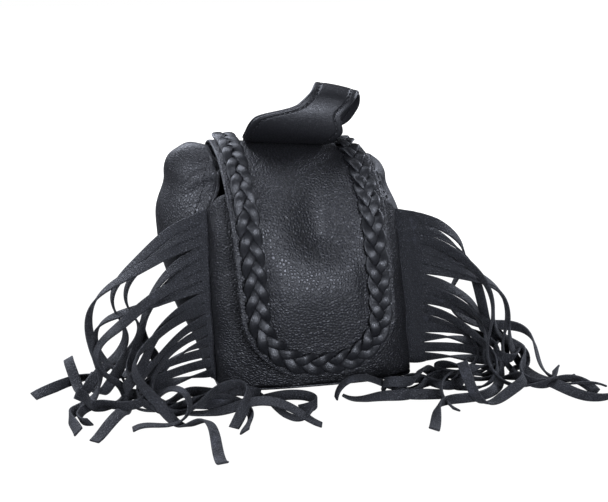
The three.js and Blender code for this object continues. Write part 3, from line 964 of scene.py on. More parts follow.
    def outside(self, finish: Finish) -> Piece:
        """Makes the hide: the back, the bend and the flap's outer leather in one.

        Args:
            finish: its leather.

        Returns:
            The hide, which runs from the bag over to the flap.
        """
        s, end = self.rows(self.starts[0], 0.0)
        rear, low = self.rear(s)
        flapped = smoothstep(rear[:, 1], *self.narrowing)
        wide = (FORM.seam_half(rear[:, 1]) + self.lip) * (1 - flapped) + self.width / 2 * flapped
        x_rear, full_x = self.across(wide)
        x_flap, _ = self.across(self.half(s, 0.0))
        flap_face = self.on(x_flap, s[:, None], self.outer)
        face = np.concatenate([stacked(x_rear, rear[:, :1], rear[:, 1:]), flap_face])
        full = np.concatenate([low, end])[:, None] * full_x
        far = Line(np.concatenate([rear, self.line.at(s)])).far
        cut = stacked(np.concatenate([x_rear, x_flap]), far[:, None])
        soft = ripple(cut[..., 0], cut[..., 1], *self.back_wave) * self.back_uneven
        soft[len(rear):] = 0
        face = FORM.slouch(face + normals_of(face) * (soft * full)[..., None])
        shape = leather(face[:, ::-1], self.hide, full[:, ::-1], cut[:, ::-1])
        hide = add_mesh("back_and_flap_hide", shape, finish)
        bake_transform(hide)
        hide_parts("back_panel", "flap_outer")
        area = 2 * (float(np.trapz(wide, rear[:, 1])) + float(np.trapz(self.half(s, 0), s)))
        LOG.info("%s bends over the fold: %d faces", hide.name, len(shape.faces))
        return hide

    def inside(self, finish: Finish, hide: Piece) -> Piece:
        """Makes the flap's lining.

        Args:
            finish: its leather.
            hide: what it is sewn to; not used.

        Returns:
            The lining.
        """
        s, end = self.rows(self.starts[1], self.inset)
        start = np.clip(s - s[0], 0, 1)
        x, full_x = self.across(self.half(s, self.inset))
        face = FORM.slouch(self.on(x, s[:, None], -self.gap - self.ease))[:, ::-1]
        full = (end * np.sqrt(1 - (1 - start) ** 2))[:, None] * full_x
        shape = leather(face, self.lining, full[:, ::-1], stacked(x, s[:, None])[:, ::-1])
        piece = seat("flap_inner_lining", shape, finish, Body.FLAP, Slot.SMOOTH, "flap_lining")
        return piece

    def build(self, pebbled: Finish, smooth: Finish) -> list[Piece]:
        """Makes the hide and the lining."""
        hide = self.outside(pebbled)
        return [hide, self.inside(smooth, hide)]


@dataclass
class SidePuff:
    """A gusset: it puffs out, rolls in under the flap at its top, and has a free hemmed edge."""

    side: Side
    bulge: float
    rise: float  # share of the roof's height
    flap: Flap
    columns: int = 64
    rows: int = 96
    posts: int = 9  # rows that its wall is drawn through
    edge: float = 1.2  # how far in its edges are rounded
    puffs: tuple[float, ...] = (0.1, 0.7, 1.0, 0.86)  # shares of the bulge, from foot to top
    front_rise: float = 4.0
    roundness: float = 0.8
    mouth_drop: float = 15.0  # from the seam's top down to where the front edge comes free
    setback: float = 5.0  # of the free edge
    back_gap: float = 1.5  # from the back's outer face to the gusset's edge
    tuck: float = 13.0  # of the free edge, towards the middle
    roof: tuple[tuple[float, float], ...] = (  # out and up from the wall's top
        (-2.0, 11.0), (-7.0, 21.5), (-14.5, 26.5), (-23.0, 24.5), (-33.0, 13.5))
    roof_start: float = 0.88
    roof_length: float = 44.0
    rear_drop: float = 0.52  # share of the roof's rise that is lost at the back seam
    front_drop: float = 0.06  # and at the free front edge
    mid_depth: float = 0.4  # where neither is
    slack: float = 2.6  # left between the roof and the flap's lining
    freed: tuple[float, float] = (1.0, 4.5)  # past the flap's edge, where its weight ends
    hem_size: tuple[float, float] = (4.0, 3.2)
    hem_start: float = 3.0  # under the seam's top
    hem_depth: float = 5.5  # from the edge to the stitches
    hem_blunt: float = 0.05  # angle left out at each end of the sine that closes the hem
    hem_taper: float = 0.3  # power of that sine
    hem_facing: int = 5  # column of the gusset whose direction the hem faces
    stitch: Stitch = Stitch(3.3, 2.4, 0.8)
    wave: float = 34.0
    seed: int = 11  # of its unevenness, which differs by side
    uneven: float = 0.9
    pinned: float = 8.0  # from a seam to where the leather is free to wave
    crease: float = 0.45
    crease_wave: tuple[float, int] = (24.0, 5)  # length and seed of the creases' bends
    crease_slant: float = 0.9  # how far the creases lean
    crease_rate: float = 0.62  # radians of a crease for each mm
    crease_bend: float = 1.6  # radians that its bends add
    gather: tuple[float, float] = (11.0, 10.0)  # the creases' middle and half width across
    gather_up: tuple[float, float] = (0.64, 13.0)  # their middle as a share, and half length up

    def wall(self, depth: Array, rise: Array) -> Array:
        """Points of the upright wall: a sine from seam to seam, its height the puff's.

        Args:
            depth: from the front seam (0) to the back one (1).
            rise: from the foot (0) to the top (1), rows by columns.

        Returns:
            Upright points, as if on the right.
        """
        top = FORM.back_height + self.front_rise * (1 - depth)
        z = FORM.foot + (top - FORM.foot) * rise
        high = FORM.back_height + self.front_rise
        free = smoothstep(z, FORM.seam_height - self.mouth_drop, high)
        start = FORM.seam_y + FORM.seam_gap + self.setback * free
        puff = through(np.array(self.puffs), rise.ravel()).reshape(rise.shape)
        out = self.bulge * puff * np.maximum(np.sin(math.pi * depth), 0) ** self.roundness
        x = FORM.seam_half(z) + out - self.tuck * free * (1 - depth)
        return stacked(x, start + (FORM.back_y - self.back_gap - start) * depth, z)

    def surface(self) -> tuple[Array, Array, Array]:
        """The puff's outer face, as if on the right: wall, rolled top, slow waves and creases.

        Returns:
            Upright points, the share of the thickness there, and flat positions.
        """
        wide = FORM.back_y - FORM.seam_y + self.bulge
        tall = FORM.back_height + self.roof_length
        depth, full_x = edged(wide, self.columns, self.edge)
        rises = np.linspace(0, self.roof_start, self.posts)[:, None]
        posts = self.wall(depth[None], np.broadcast_to(rises, (self.posts, len(depth))))
        high = 1 - self.rear_drop * smoothstep(depth, self.mid_depth, 1.0)
        high = (high - self.front_drop * (1 - smoothstep(depth, 0.0, self.mid_depth))) * self.rise
        roof = np.array(self.roof)
        eaves = posts[-1] + stacked(roof[:, :1], 0 * high, roof[:, 1:] * high)
        up, full_z = edged(tall, self.rows, self.edge)
        face = through(np.concatenate([posts, eaves]), up)
        past = face[..., 0] - self.flap.width / 2
        under = self.flap.underside(self.side.value * face[..., 0], face[..., 1]) - self.slack
        face[..., 2] -= (1 - smoothstep(past, *self.freed)) * np.maximum(face[..., 2] - under, 0)
        cut = stacked(depth * wide, up[:, None] * tall)
        full = full_z[:, None] * full_x
        x, y = cut[..., 0], cut[..., 1]
        soft = ripple(x, y, self.wave, self.seed + self.side.value) * self.uneven
        bends = self.crease_bend * ripple(x, y, *self.crease_wave)
        creases = np.sin((x * self.crease_slant + y) * self.crease_rate + bends)
        middle, reach = self.gather_up
        gathered = bell(x, *self.gather) * bell(y, middle * tall, reach)
        loose = np.clip(np.minimum(x, wide - x) / self.pinned, 0, 1)
        lift = soft * loose + self.crease * creases * gathered
        return face + normals_of(face) * (lift * full)[..., None], full, cut

    def build(self, finish: Finish, thread: Finish) -> list[Piece]:
        """Makes the gusset, the turned hem of its free front edge, and the stitches beside it.

        Args:
            finish: its leather.
            thread: its stitches' thread.

        Returns:
            The three pieces.
        """
        face, full, cut = self.surface()
        out = normals_of(face) * [self.side.value, 1, 1]
        face = FORM.slouch(face * [self.side.value, 1, 1])
        free = face[:, 0, 2] > FORM.seam_height - self.hem_start
        sewn = int(np.searchsorted(cut[0, :, 0], self.hem_depth))
        edge, row = face[free, 1], face[free, sewn]
        angle = np.linspace(self.hem_blunt, math.pi - self.hem_blunt, len(edge))
        ends = np.sin(angle) ** self.hem_taper
        wide, thick = self.hem_size
        hem = lace(edge, out[free, self.hem_facing], wide * ends, thick * ends)
        beads = stitches(row, out[free, sewn], self.stitch)
        turned = slice(None, None, self.side.value)
        shape = leather(face[:, turned], FORM.panel, full[:, turned], cut[:, turned])
        label = self.side.label
        made = [
            seat(f"{label}_side_puff", shape, finish, Body.BAG, Slot.SMOOTH, f"{label}_gusset"),
            seat(f"{label}_mouth_hem", hem, finish, Body.BAG, Slot.SMOOTH),
            seat(f"{label}_mouth_stitches", beads, thread, Body.BAG, Slot.SMOOTH),
        ]
        return made


@dataclass
class Plait:
    """Three laces plaited round the flap's edge."""

    flap: Flap
    strands: int = 3
    lace_width: float = 6.2
    lace_thick: float = 2.0
    swing: float = 4.3
    rise: float = 1.7
    sunk: float = 0.2  # how far the laces press into the flap
    pitch: float = 35.2
    inset: float = 10.5
    start: float = 9.0
    taper: float = 2.5  # length over which an end closes
    blunt: float = 0.05  # share of the section that is left at a tip
    corner_steps: int = 60
    steps: int = 26  # for each turn of a strand

    def outline(self) -> Line:
        """The plait's middle line on the flat flap: down one side, round, and up the other.

        Returns:
            The line, as places across and distances from the fold.
        """
        x = self.flap.width / 2 - self.inset
        corner = self.flap.width / 2 - self.flap.corner
        low = self.flap.line.length - self.flap.corner
        radius = self.flap.corner - self.inset
        turn = np.linspace(0, math.pi / 2, self.corner_steps)
        left = np.stack([-corner - radius * np.cos(turn), low + radius * np.sin(turn)], -1)
        right = np.stack([corner + radius * np.sin(turn), low + radius * np.cos(turn)], -1)
        return Line(np.concatenate([[(-x, self.start)], left, right, [(x, self.start)]]))

    def build(self, finish: Finish) -> list[Piece]:
        """Makes the laces: each swings side to side, and rises and dips twice as often.

        Args:
            finish: their leather.

        Returns:
            The laces.
        """
        line = self.outline()
        turns = round(line.length / self.pitch * self.strands) / self.strands
        t = np.linspace(0, 1, round(turns * self.steps))
        middle, along = line.at(t * line.length), line.along(t * line.length)
        close = np.sqrt(np.minimum(t, 1 - t) * line.length / self.taper) + self.blunt
        close = np.minimum(1, close)
        made = []
        for number in range(self.strands):
            phase = 2 * math.pi * (turns * t + number / self.strands)
            sway = self.swing * np.sin(phase)
            x, s = middle[:, 0] - along[:, 1] * sway, middle[:, 1] + along[:, 0] * sway
            lift = self.flap.outer + self.lace_thick / 2 + self.rise * (1 + np.sin(2 * phase))
            centre = FORM.slouch(self.flap.on(x, s, lift - self.sunk))
            shape = lace(centre, self.flap.out(s), self.lace_width * close, self.lace_thick * close)
            name, node = f"plaited_lace_{number + 1}", f"plait_strand_{number + 1}"
            made.append(seat(name, shape, finish, Body.FLAP, Slot.LACE, node))
        return made


@dataclass
class Strap:
    """The strap: two layers sewn along both edges, looping up from behind the flap's ridge."""

    flap: Flap
    layer: float = 1.7
    loose: float = 0.06  # between the layers
    foot_width: float = 55.0
    foot_taper: float = 16.0  # how much narrower its sewn end is
    foot_end: float = 0.17  # where that taper ends, as a share of the strap
    width: float = 28.0
    narrowing: tuple[float, float] = (0.28, 0.41)  # from foot to loop, as shares of the strap
    shift: float = -1.5
    foot: tuple[float, float] = (17.5, 9.5)  # where its feet lie, behind the ridge
    foot_lift: float = 0.7  # off the flap
    foot_gap: float = 3.8  # from the lower foot to the upper one
    ridge_at: float = 26.6  # from the fold to the ridge
    tilt: float = math.radians(9)
    leaning: tuple[float, ...] = (0.12, 0.3, 0.7, 0.88)  # where the tilt comes and goes
    cup: float = 0.9  # how far the loop is hollow across
    loop: tuple[tuple[float, float, float], ...] = (  # from the ridge
        (-1.5, -2, 3.9), (-1, -11, 7.2), (3, -20, 15.0), (15, -24, 25.5), (26, -21.5, 35),
        (31.5, -14.5, 40), (34.5, -7.5, 37.5), (33.5, -2, 28.5), (24, 5, 16),
    )
    columns: int = 64
    rows: int = 130
    edges: tuple[float, float] = (1.0, 0.9)  # how far in its ends and sides are rounded
    stitch: Stitch = Stitch(3.2, 2.4, 0.75)
    stitch_inset: float = 4.2
    groove: float = 0.45  # depth of the sewn groove
    groove_width: float = 0.9
    sewn: tuple[float, float] = (0.1, 0.9)  # where the stitches start and end, as shares
    seam_points: int = 160
    fine: int = 1201  # points of its middle line
    line: Line = field(init=False)

    def __post_init__(self) -> None:
        """Lays the strap's middle line, from its foot on the flap round and back to it."""
        base = self.flap.outer + self.layer + self.foot_lift
        x = np.array([self.shift])
        near, far = (np.array([self.ridge_at - behind]) for behind in self.foot)
        lower = [self.flap.on(x, s, base)[0] for s in (near, far)]
        upper = [self.flap.on(x, s, base + self.foot_gap)[0] for s in (far, near)]
        rise = np.array([0.0, *self.flap.ridge]) + np.array(self.loop)
        points = np.concatenate([lower, rise, upper])
        self.line = Line(through(points, np.linspace(0, 1, self.fine)))

    def widths(self, along: Array) -> Array:
        """Widths along the strap: it opens from its sewn end to the foot, then tapers to the loop."""
        foot = self.foot_width - self.foot_taper * (1 - smoothstep(along, 0.0, self.foot_end))
        return foot + (self.width - foot) * smoothstep(along, *self.narrowing)

    def face(self, u: Array, along: Array, lift: float) -> tuple[Array, Array]:
        """Points of the strap and their outward directions.

        Args:
            u: places across, as shares of the width from -0.5 to 0.5.
            along: shares of the way along the strap.
            lift: how far out of its middle surface, in mm.

        Returns:
            Upright points and directions, rows along by columns across.
        """
        ease = smoothstep(along, *self.leaning[:2]) * (1 - smoothstep(along, *self.leaning[2:]))
        lean = self.tilt * ease
        across = np.stack([np.cos(lean), np.zeros_like(lean), -np.sin(lean)], -1)
        middle = self.line.at(along * self.line.length)
        out = unit(np.cross(self.line.along(along * self.line.length), across))[:, None]
        cup = (4 * u**2 - 1) * self.cup * ease[:, None]
        spread = middle[:, None] + across[:, None] * (u * self.widths(along)[:, None])[..., None]
        return spread + out * (lift + cup)[..., None], np.broadcast_to(out, spread.shape)

    def build(self, finish: Finish, thread: Finish) -> list[Piece]:
        """Makes the two layers, thinner along the sewn grooves, and their stitches.

        Args:
            finish: the layers' leather.
            thread: the stitches' thread.

        Returns:
            The outer layer, the inner one and the stitches.
        """
        along, full_z = edged(self.line.length, self.rows, self.edges[0])
        share, full_x = edged(self.width, self.columns, self.edges[1])
        cut = stacked((share - 0.5) * self.width, along[:, None] * self.line.length)
        inset = (0.5 - np.abs(share - 0.5)) * self.widths(along)[:, None]
        thick = self.layer - self.loose
        sewn = 1 - 2 * self.groove / thick * bell(inset, self.stitch_inset, self.groove_width)
        full = full_z[:, None] * full_x * sewn
        layers = (("strap_outer_layer", "strap_face", -1), ("strap_inner_layer", "strap_lining", 1))
        made = []
        for name, node, sign in layers:
            face, _ = self.face(np.broadcast_to(share - 0.5, full.shape), along, sign * self.layer)
            turned = slice(None, None, -sign)
            face = FORM.slouch(face[:, turned])
            shape = leather(face, thick, full[:, turned], cut[:, turned])
            made.append(seat(name, shape, finish, Body.FLAP, Slot.SMOOTH, node))
        return [*made, self.seams(thread)]

    def seams(self, thread: Finish) -> Piece:
        """Makes four rows of stitches: along both edges, on both sides.

        Args:
            thread: their thread.

        Returns:
            All stitches as one piece.
        """
        along = np.linspace(*self.sewn, self.seam_points)
        inset = 0.5 - self.stitch_inset / self.widths(along)
        rows = []
        for edge in (-1.0, 1.0):
            for sign in (-1.0, 1.0):
                lift = sign * (self.layer - self.groove)
                line, out = self.face((edge * inset)[:, None], along, lift)
                rows.append(stitches(FORM.slouch(line[:, 0]), sign * out[:, 0], self.stitch))
        return seat("strap_stitches", joined(rows), thread, Body.FLAP, Slot.SMOOTH)


@dataclass
class Fall:
    """Lets limp strips fall: points held at their distances, bending, on a floor and each other.

    Time goes in steps, so speeds are in mm a step.
    """

    pace: float  # distance between points along a strip
    half: float  # and across it, from the middle to an edge
    curl: Array  # rest curvature of each strip along its length, in 1/mm
    wind: Array  # a push on each strip while it falls, in mm a step each step
    steps: int = 900
    passes: int = 4
    weight: float = 0.010  # fall in mm a step, each step
    fastest: float = 1.2
    firm: tuple[float, float] = (0.5, 0.055)  # stiffness at the root and at the tip
    limp: tuple[float, float] = (0.04, 0.36)  # where it goes down, as shares of the length
    smooth: float = 0.9  # stiffness between next neighbours
    drag: float = 0.982
    lift: float = 140.0  # how far the pouch is set down, its strips hanging
    landing: tuple[float, float] = (0.1, 0.62)  # when that is, as shares of the time
    calm: tuple[float, float] = (0.55, 0.75)  # when the push dies down
    grip: float = 0.75  # share of a slide that the floor takes away
    skin: float = 0.8  # half the leather's thickness, and a little
    apart: float = 2.7  # closest that points of two strips come
    shove: float = 0.35  # share of a lacking distance that each step mends
    watch: tuple[float, int] = (2.2, 12)  # how far round, and how often, to look for close points
    kin: tuple[int, int] = (5, 7)  # rows of one strip, and roots, that don't part

    def settle(self, p: Array) -> Array:
        """Runs the fall.

        Args:
            p: points by strip, place along, place across (three) and axis. The first two
                rows of each strip are held.

        Returns:
            The points when the strips have come to rest.
        """
        held = p[:, :2].copy()
        speed = np.zeros_like(p)
        pairs = (np.zeros(0, int), np.zeros(0, int))
        for step in range(self.steps):
            done = np.array(step / self.steps)
            push = self.wind[:, None, None] * float(1 - smoothstep(done, *self.calm))
            level = self.skin - self.lift * float(1 - smoothstep(done, *self.landing))
            speed = (speed + push) * self.drag
            speed[..., 2] -= self.weight
            before, p = p, p + np.clip(speed, -self.fastest, self.fastest)
            if step % self.watch[1] == 0:
                pairs = self.close_pairs(p)
            for _ in range(self.passes):
                self.hold(p)
                self.bend(p)
                p[:, :2] = held
            self.part(p, pairs)
            keep_off(p)
            self.floor(p, before, level)
            p[:, :2] = held
            speed = p - before
        return p

    def hold(self, p: Array) -> None:
        """Brings neighbours back to their distances: along, across and on the diagonals.

        Args:
            p: the points, moved in place.
        """
        slant = math.hypot(self.pace, self.half)
        for odd in (0, 1):
            a, b = p[:, odd:-1:2], p[:, odd + 1::2]
            n = min(a.shape[1], b.shape[1])
            a, b = a[:, :n], b[:, :n]
            draw(a, b, self.pace)
            draw(a[:, :, :-1], b[:, :, 1:], slant)
            draw(a[:, :, 1:], b[:, :, :-1], slant)
        draw(p[:, :, 0], p[:, :, 1], self.half)
        draw(p[:, :, 1], p[:, :, 2], self.half)
        draw(p[:, :, 0], p[:, :, 2], 2 * self.half)

    def bend(self, p: Array) -> None:
        """Moves each point towards the middle of its neighbours, off it by the rest curl.

        Args:
            p: the points, moved in place.
        """
        place = np.linspace(0, 1, p.shape[1])[None, :, None, None]
        firm = self.firm[1] + (self.firm[0] - self.firm[1]) * (1 - smoothstep(place, *self.limp))
        for stride, stiff in ((1, np.full_like(firm, self.smooth)), (2, firm)):
            share = stiff[:, stride:-stride]
            ahead = p[:, 2 * stride:] - p[:, :-2 * stride]
            across = (p[:, :, 2] - p[:, :, 0])[:, stride:-stride, None]
            out = unit(np.cross(ahead, across))
            bow = self.curl[:, stride:-stride, None, None] * (stride * self.pace) ** 2 / 2
            off = (p[:, :-2 * stride] + p[:, 2 * stride:]) / 2 - p[:, stride:-stride] - out * bow
            p[:, stride:-stride] += off * share / 2
            p[:, :-2 * stride] -= off * share / 4
            p[:, 2 * stride:] -= off * share / 4
        row = ((p[:, :, 0] + p[:, :, 2]) / 2 - p[:, :, 1]) / 3
        p[:, :, 1] += 2 * row
        p[:, :, 0] -= row
        p[:, :, 2] -= row

    def floor(self, p: Array, before: Array, level: float) -> None:
        """Keeps points over the floor, and slows what slides on it.

        Args:
            p: the points, moved in place.
            before: where they were a step ago.
            level: the floor's height.
        """
        low = p[..., 2] < level
        p[..., 2] = np.where(low, level, p[..., 2])
        p[..., :2] -= np.where(low[..., None], (p[..., :2] - before[..., :2]) * self.grip, 0.0)

    def close_pairs(self, p: Array) -> tuple[Array, Array]:
        """Finds points that may meet soon.

        Args:
            p: the points.

        Returns:
            Numbers of close points that are neither neighbours on a strip nor both at roots.
        """
        flat = p.reshape(-1, 3).astype(np.float32)
        per_strip = p.shape[1] * p.shape[2]
        square = (flat * flat).sum(1)
        near = square[:, None] + square - 2 * flat @ flat.T < (self.watch[0] * self.apart) ** 2
        a, b = np.nonzero(np.triu(near, 1))
        row_a, row_b = (i % per_strip // p.shape[2] for i in (a, b))
        same = (a // per_strip == b // per_strip) & (np.abs(row_a - row_b) < self.kin[0])
        rooted = (row_a < self.kin[1]) & (row_b < self.kin[1])
        free = ~(same | rooted)
        return a[free], b[free]

    def part(self, p: Array, pairs: tuple[Array, Array]) -> None:
        """Pushes points of different strips apart where they are too close.

        Args:
            p: the points, moved in place.
            pairs: numbers of the points to look at.
        """
        flat = p.reshape(-1, 3)
        a, b = pairs
        gap = flat[b] - flat[a]
        far = np.maximum(np.linalg.norm(gap, axis=1), 1e-6)
        short = np.maximum(self.apart - far, 0) / far * self.shove
        for axis in range(3):
            move = gap[:, axis] * short
            flat[:, axis] += np.bincount(b, move, len(flat)) - np.bincount(a, move, len(flat))


def draw(a: Array, b: Array, rest: float) -> None:
    """Moves two sets of points to a distance from each other.

    Args:
        a: points, moved in place.
        b: as many others, moved in place.
        rest: the distance.
    """
    gap = b - a
    far = np.maximum(np.linalg.norm(gap, axis=-1, keepdims=True), 1e-6)
    move = gap * ((far - rest) / far / 2)
    a += move
    b -= move


@dataclass(frozen=True)
class Pillar:
    """A round part of the upright pouch that strips can't enter, superelliptic in plan."""

    x: float
    y: float
    wide: float
    deep: float
    power: float
    top: float


FRONT_PILLAR = Pillar(0.0, 5.0, 1.5, 31.6, 4.0, 128.0)  # added to the front's own half sizes
PILLARS = (
    Pillar(0.0, 5.0, 51.0, 67.0, 4.0, 150.0),  # the flap
    Pillar(-58.0, 4.0, 33.0, 30.0, 2.0, 142.0),  # the left puff
    Pillar(54.0, 4.0, 21.0, 30.0, 2.0, 136.0),  # the right puff
)
MOST_SHARE = 0.02  # of its distance from a pillar's middle that a point moves at once
CORE = 0.3  # share of a pillar that no strip gets into


def keep_off(p: Array) -> None:
    """Pushes points out of the pouch: its front, its flap and its two puffs, as they slouch.

    Args:
        p: the points, moved in place.
    """
    x, z = p[..., 0] + FORM.lean * p[..., 2], p[..., 2]
    front_wide = FORM.seam_half(np.clip(z, 0, FORM.seam_height)) + FRONT_PILLAR.wide
    front_deep = FORM.front_depth(np.clip(z, 0, FORM.middle_height)) + FRONT_PILLAR.deep
    sizes = [(front_wide, front_deep), *((pillar.wide, pillar.deep) for pillar in PILLARS)]
    for pillar, (wide, deep) in zip((FRONT_PILLAR, *PILLARS), sizes):
        a, b = (x - pillar.x) / wide, (p[..., 1] - pillar.y) / deep
        r = (np.abs(a) ** pillar.power + np.abs(b) ** pillar.power) ** (1 / pillar.power)
        inside = (r < 1) & (r > CORE) & (z < pillar.top)
        grow = np.minimum(np.where(inside, 1 / np.maximum(r, CORE) - 1, 0), MOST_SHARE)
        p[..., 0] += grow * (x - pillar.x)
        p[..., 1] += grow * (p[..., 1] - pillar.y)


@dataclass
class Fringe:
    """A piece of soft leather in a front seam: an uncut header, then strips that have fallen."""

    side: Side
    header: float
    strips: int = 15
    length: float = 185.0
    thick: float = 1.4
    bottom: float = 5.0
    gap: float = 0.35
    tuck: float = 3.0
    drop: float = 3.0  # how far the header's outer edge sinks
    fan: tuple[float, float] = (0.0, 12.5)  # heading of the top strip, turn to the next, in degrees
    stray: float = 9.0  # spread of the headings
    roll: tuple[float, float] = (0.24, 0.16)  # turn of the strips at their cuts, and its spread
    bow: float = 0.13  # how far the header bulges, as a share of its width
    edge: float = 0.7  # how far in the edges are rounded
    press: float = 0.05  # of the header's face, into the seam
    points: int = 46
    rows: int = 130  # of a strip's mesh
    columns: int = 3
    head_rows: int = 40
    head_columns: int = 12
    seed: int = 4  # of the strips' headings and turns
    habit_seed: int = 24  # of their curls and pushes
    waves: tuple[float, float] = (1.2, 2.8)  # of the curl, along a strip
    curl: tuple[float, float] = (0.05, 0.125)  # their least and most curvature, in 1/mm
    bent: float = 0.013  # spread of a strip's even curvature
    curled_from: tuple[float, float] = (0.12, 0.5)  # where the curl begins and is full
    push: tuple[float, float] = (0.0026, 0.0016)  # outward while falling, and its spread

    @property
    def pitch(self) -> float:
        """Height of one strip and its cut."""
        return (FORM.seam_height - self.bottom) / self.strips

    @property
    def cut_line(self) -> float:
        """Where the cuts start, out from the middle of the pouch."""
        return float(FORM.seam_half(np.array(0.0))) + self.header

    @property
    def pace(self) -> float:
        """Distance between a strip's points."""
        return self.length / (self.points - 2)

    def hung(self) -> Array:
        """The strips before they fall: straight out of the header, spread like a fan.

        Returns:
            Points by strip, place along, place across and axis.
        """
        lots = np.random.default_rng(self.seed + self.side.value)
        number = np.arange(self.strips)
        headings = self.fan[0] + self.fan[1] * number + lots.normal(0, self.stray, self.strips)
        turn = np.radians(headings)
        z = FORM.seam_height - self.pitch * (number + 0.5)
        ahead = np.stack([self.side.value * np.cos(turn), -np.sin(turn), 0 * turn], -1)
        root = stacked(np.array(self.side.value * self.cut_line), np.array(FORM.seam_y), z)
        root[:, 2] -= self.drop * z / FORM.seam_height
        root = FORM.slouch(root)
        far = np.maximum(np.arange(self.points) - 1.0, 0) * self.pace
        middle = root[:, None] + ahead[:, None] * far[:, None]
        middle[:, 0] = root - np.array([self.side.value * self.pace, 0, 0])
        roll = lots.normal(*self.roll, self.strips)[:, None] * (np.arange(self.points) > 0)
        back = np.stack([self.side.value * np.sin(turn), np.cos(turn), 0 * turn], -1)
        across = np.cos(roll)[..., None] * UP + np.sin(roll)[..., None] * back[:, None]
        edges = np.array([-1.0, 0.0, 1.0]) * (self.pitch - self.gap) / 2
        return middle[:, :, None] + edges[:, None] * across[:, :, None]

    def habit(self) -> tuple[Array, Array]:
        """Each strip's own way.

        Returns:
            Its rest curl along its length, and its push outward.
        """
        lots = np.random.default_rng(self.habit_seed + self.side.value)
        count = self.strips
        share = np.linspace(0, 1, self.points)
        wave = lots.uniform(*self.waves, (count, 1))
        phase = lots.uniform(0, 2 * math.pi, (count, 1))
        curl = lots.normal(0, self.bent, (count, 1)) + lots.uniform(*self.curl, (count, 1)) * np.sin(
            2 * math.pi * wave * share + phase)
        curl *= smoothstep(share, *self.curled_from)
        turn = np.radians(self.fan[0] + self.fan[1] * np.arange(count))
        wind = np.stack([self.side.value * np.cos(turn), -np.sin(turn), 0 * turn], -1) * self.push[0]
        return curl, wind + lots.normal(0, self.push[1], (count, 3))

    def ribbon(self, lattice: Array) -> Shape:
        """One strip as a closed sheet.

        Args:
            lattice: its fallen points; across it they lie on a parabola.

        Returns:
            The strip.
        """
        along, full_z = edged(self.length, self.rows, self.edge)
        share, full_x = edged(self.pitch - self.gap, self.columns, self.edge)
        rows = through(lattice, along)
        a = (2 * share - 1)[:, None]
        left, middle, right = (rows[:, None, k] for k in range(3))
        face = middle + a * (right - left) / 2 + a**2 * ((right + left) / 2 - middle)
        cut = stacked(share * (self.pitch - self.gap), along[:, None] * self.length)
        return leather(face, self.thick, full_z[:, None] * full_x, cut)

    def head(self) -> Shape:
        """The header: a sheet from inside the seam to the cuts, bulging and sinking outwards.

        Returns:
            The header.
        """
        tall = FORM.seam_height - self.bottom
        up, full_z = edged(tall, self.head_rows, self.edge)
        across, full_x = edged(self.header + self.tuck, self.head_columns, self.edge)
        z = self.bottom + up[:, None] * tall
        inner = FORM.seam_half(z) - self.tuck
        x = inner + (self.cut_line - inner) * across
        z = z - self.drop * across**2 * z / FORM.seam_height
        bulge = np.sin(math.pi * np.clip((x - FORM.seam_half(z)) / self.header, 0, 1))
        y = FORM.seam_y - self.thick / 2 - self.press - self.bow * self.header * bulge
        turned = slice(None, None, self.side.value)
        face = FORM.slouch(stacked(self.side.value * x, y, z)[:, turned])
        full = (full_z[:, None] * full_x)[:, turned]
        return leather(face, self.thick + 2 * self.press, full, stacked(x, z)[:, turned])

    def build(self, points: Array, finish: Finish) -> Piece:
        """Makes the header and its strips as one piece.

        Args:
            points: the strips' fallen points.
            finish: the leather.

        Returns:
            The fringe.
        """
        across, ahead = np.gradient(points, axis=2), np.gradient(points, axis=1)
        centred = points + unit(np.cross(across, ahead)) * (self.thick / 2)
        strips = [self.ribbon(lattice) for lattice in centred]
        for number, strip in enumerate(strips):
            strip.cut[:, 0] += number * self.pitch
        label = self.side.label
        shape = joined([self.head(), *strips])
        piece = seat(
            f"{label}_fringe_leather", shape, finish, Body.BAG, Slot.FRINGE, f"{label}_fringe")
        return piece


def fallen(fringes: list[Fringe]) -> list[Array]:
    """Lets the strips of several fringes of one cut fall together, so that they lie on each other.

    Args:
        fringes: the fringes.

    Returns:
        Each fringe's points, at rest.
    """
    first = fringes[0]
    curl, wind = (np.concatenate(rows) for rows in zip(*(fringe.habit() for fringe in fringes)))
    fall = Fall(first.pace, (first.pitch - first.gap) / 2, curl, wind)
    points = fall.settle(np.concatenate([fringe.hung() for fringe in fringes]))
    return np.split(points, np.cumsum([fringe.strips for fringe in fringes])[:-1])


@dataclass
class Bottom:
    """The floor of the pouch: one flat sheet with a rounded front."""

    front: FrontPanel
    columns: int = 90
    rows: int = 50
    fine: int = 2001  # points that the front's foot line is read from
    depth: float = 75.0
    edge: float = 1.0  # how far in its edges are rounded

    def build(self, finish: Finish) -> Piece:
        """Makes the sheet, from the front panel's foot line back to the back panel.

        Args:
            finish: its leather.

        Returns:
            The sheet.
        """
        dense = np.linspace(0, 1, self.fine)
        line = self.front.section(dense, np.zeros_like(dense))
        share, full_x = edged(FORM.seam_width, self.columns, self.edge)
        x = (2 * share - 1) * FORM.seam_width / 2
        y_front = np.interp(x, line[:, 0], line[:, 1])
        back, full_y = edged(self.depth, self.rows, self.edge)
        y = y_front + (FORM.back_y - y_front) * back[:, None]
        face = stacked(x, y, np.array(FORM.panel))
        shape = leather(face, FORM.panel, full_y[:, None] * full_x, stacked(x, y))
        piece = seat("bottom_sheet", shape, finish, Body.BAG, Slot.SMOOTH, "bottom_panel")
        return piece


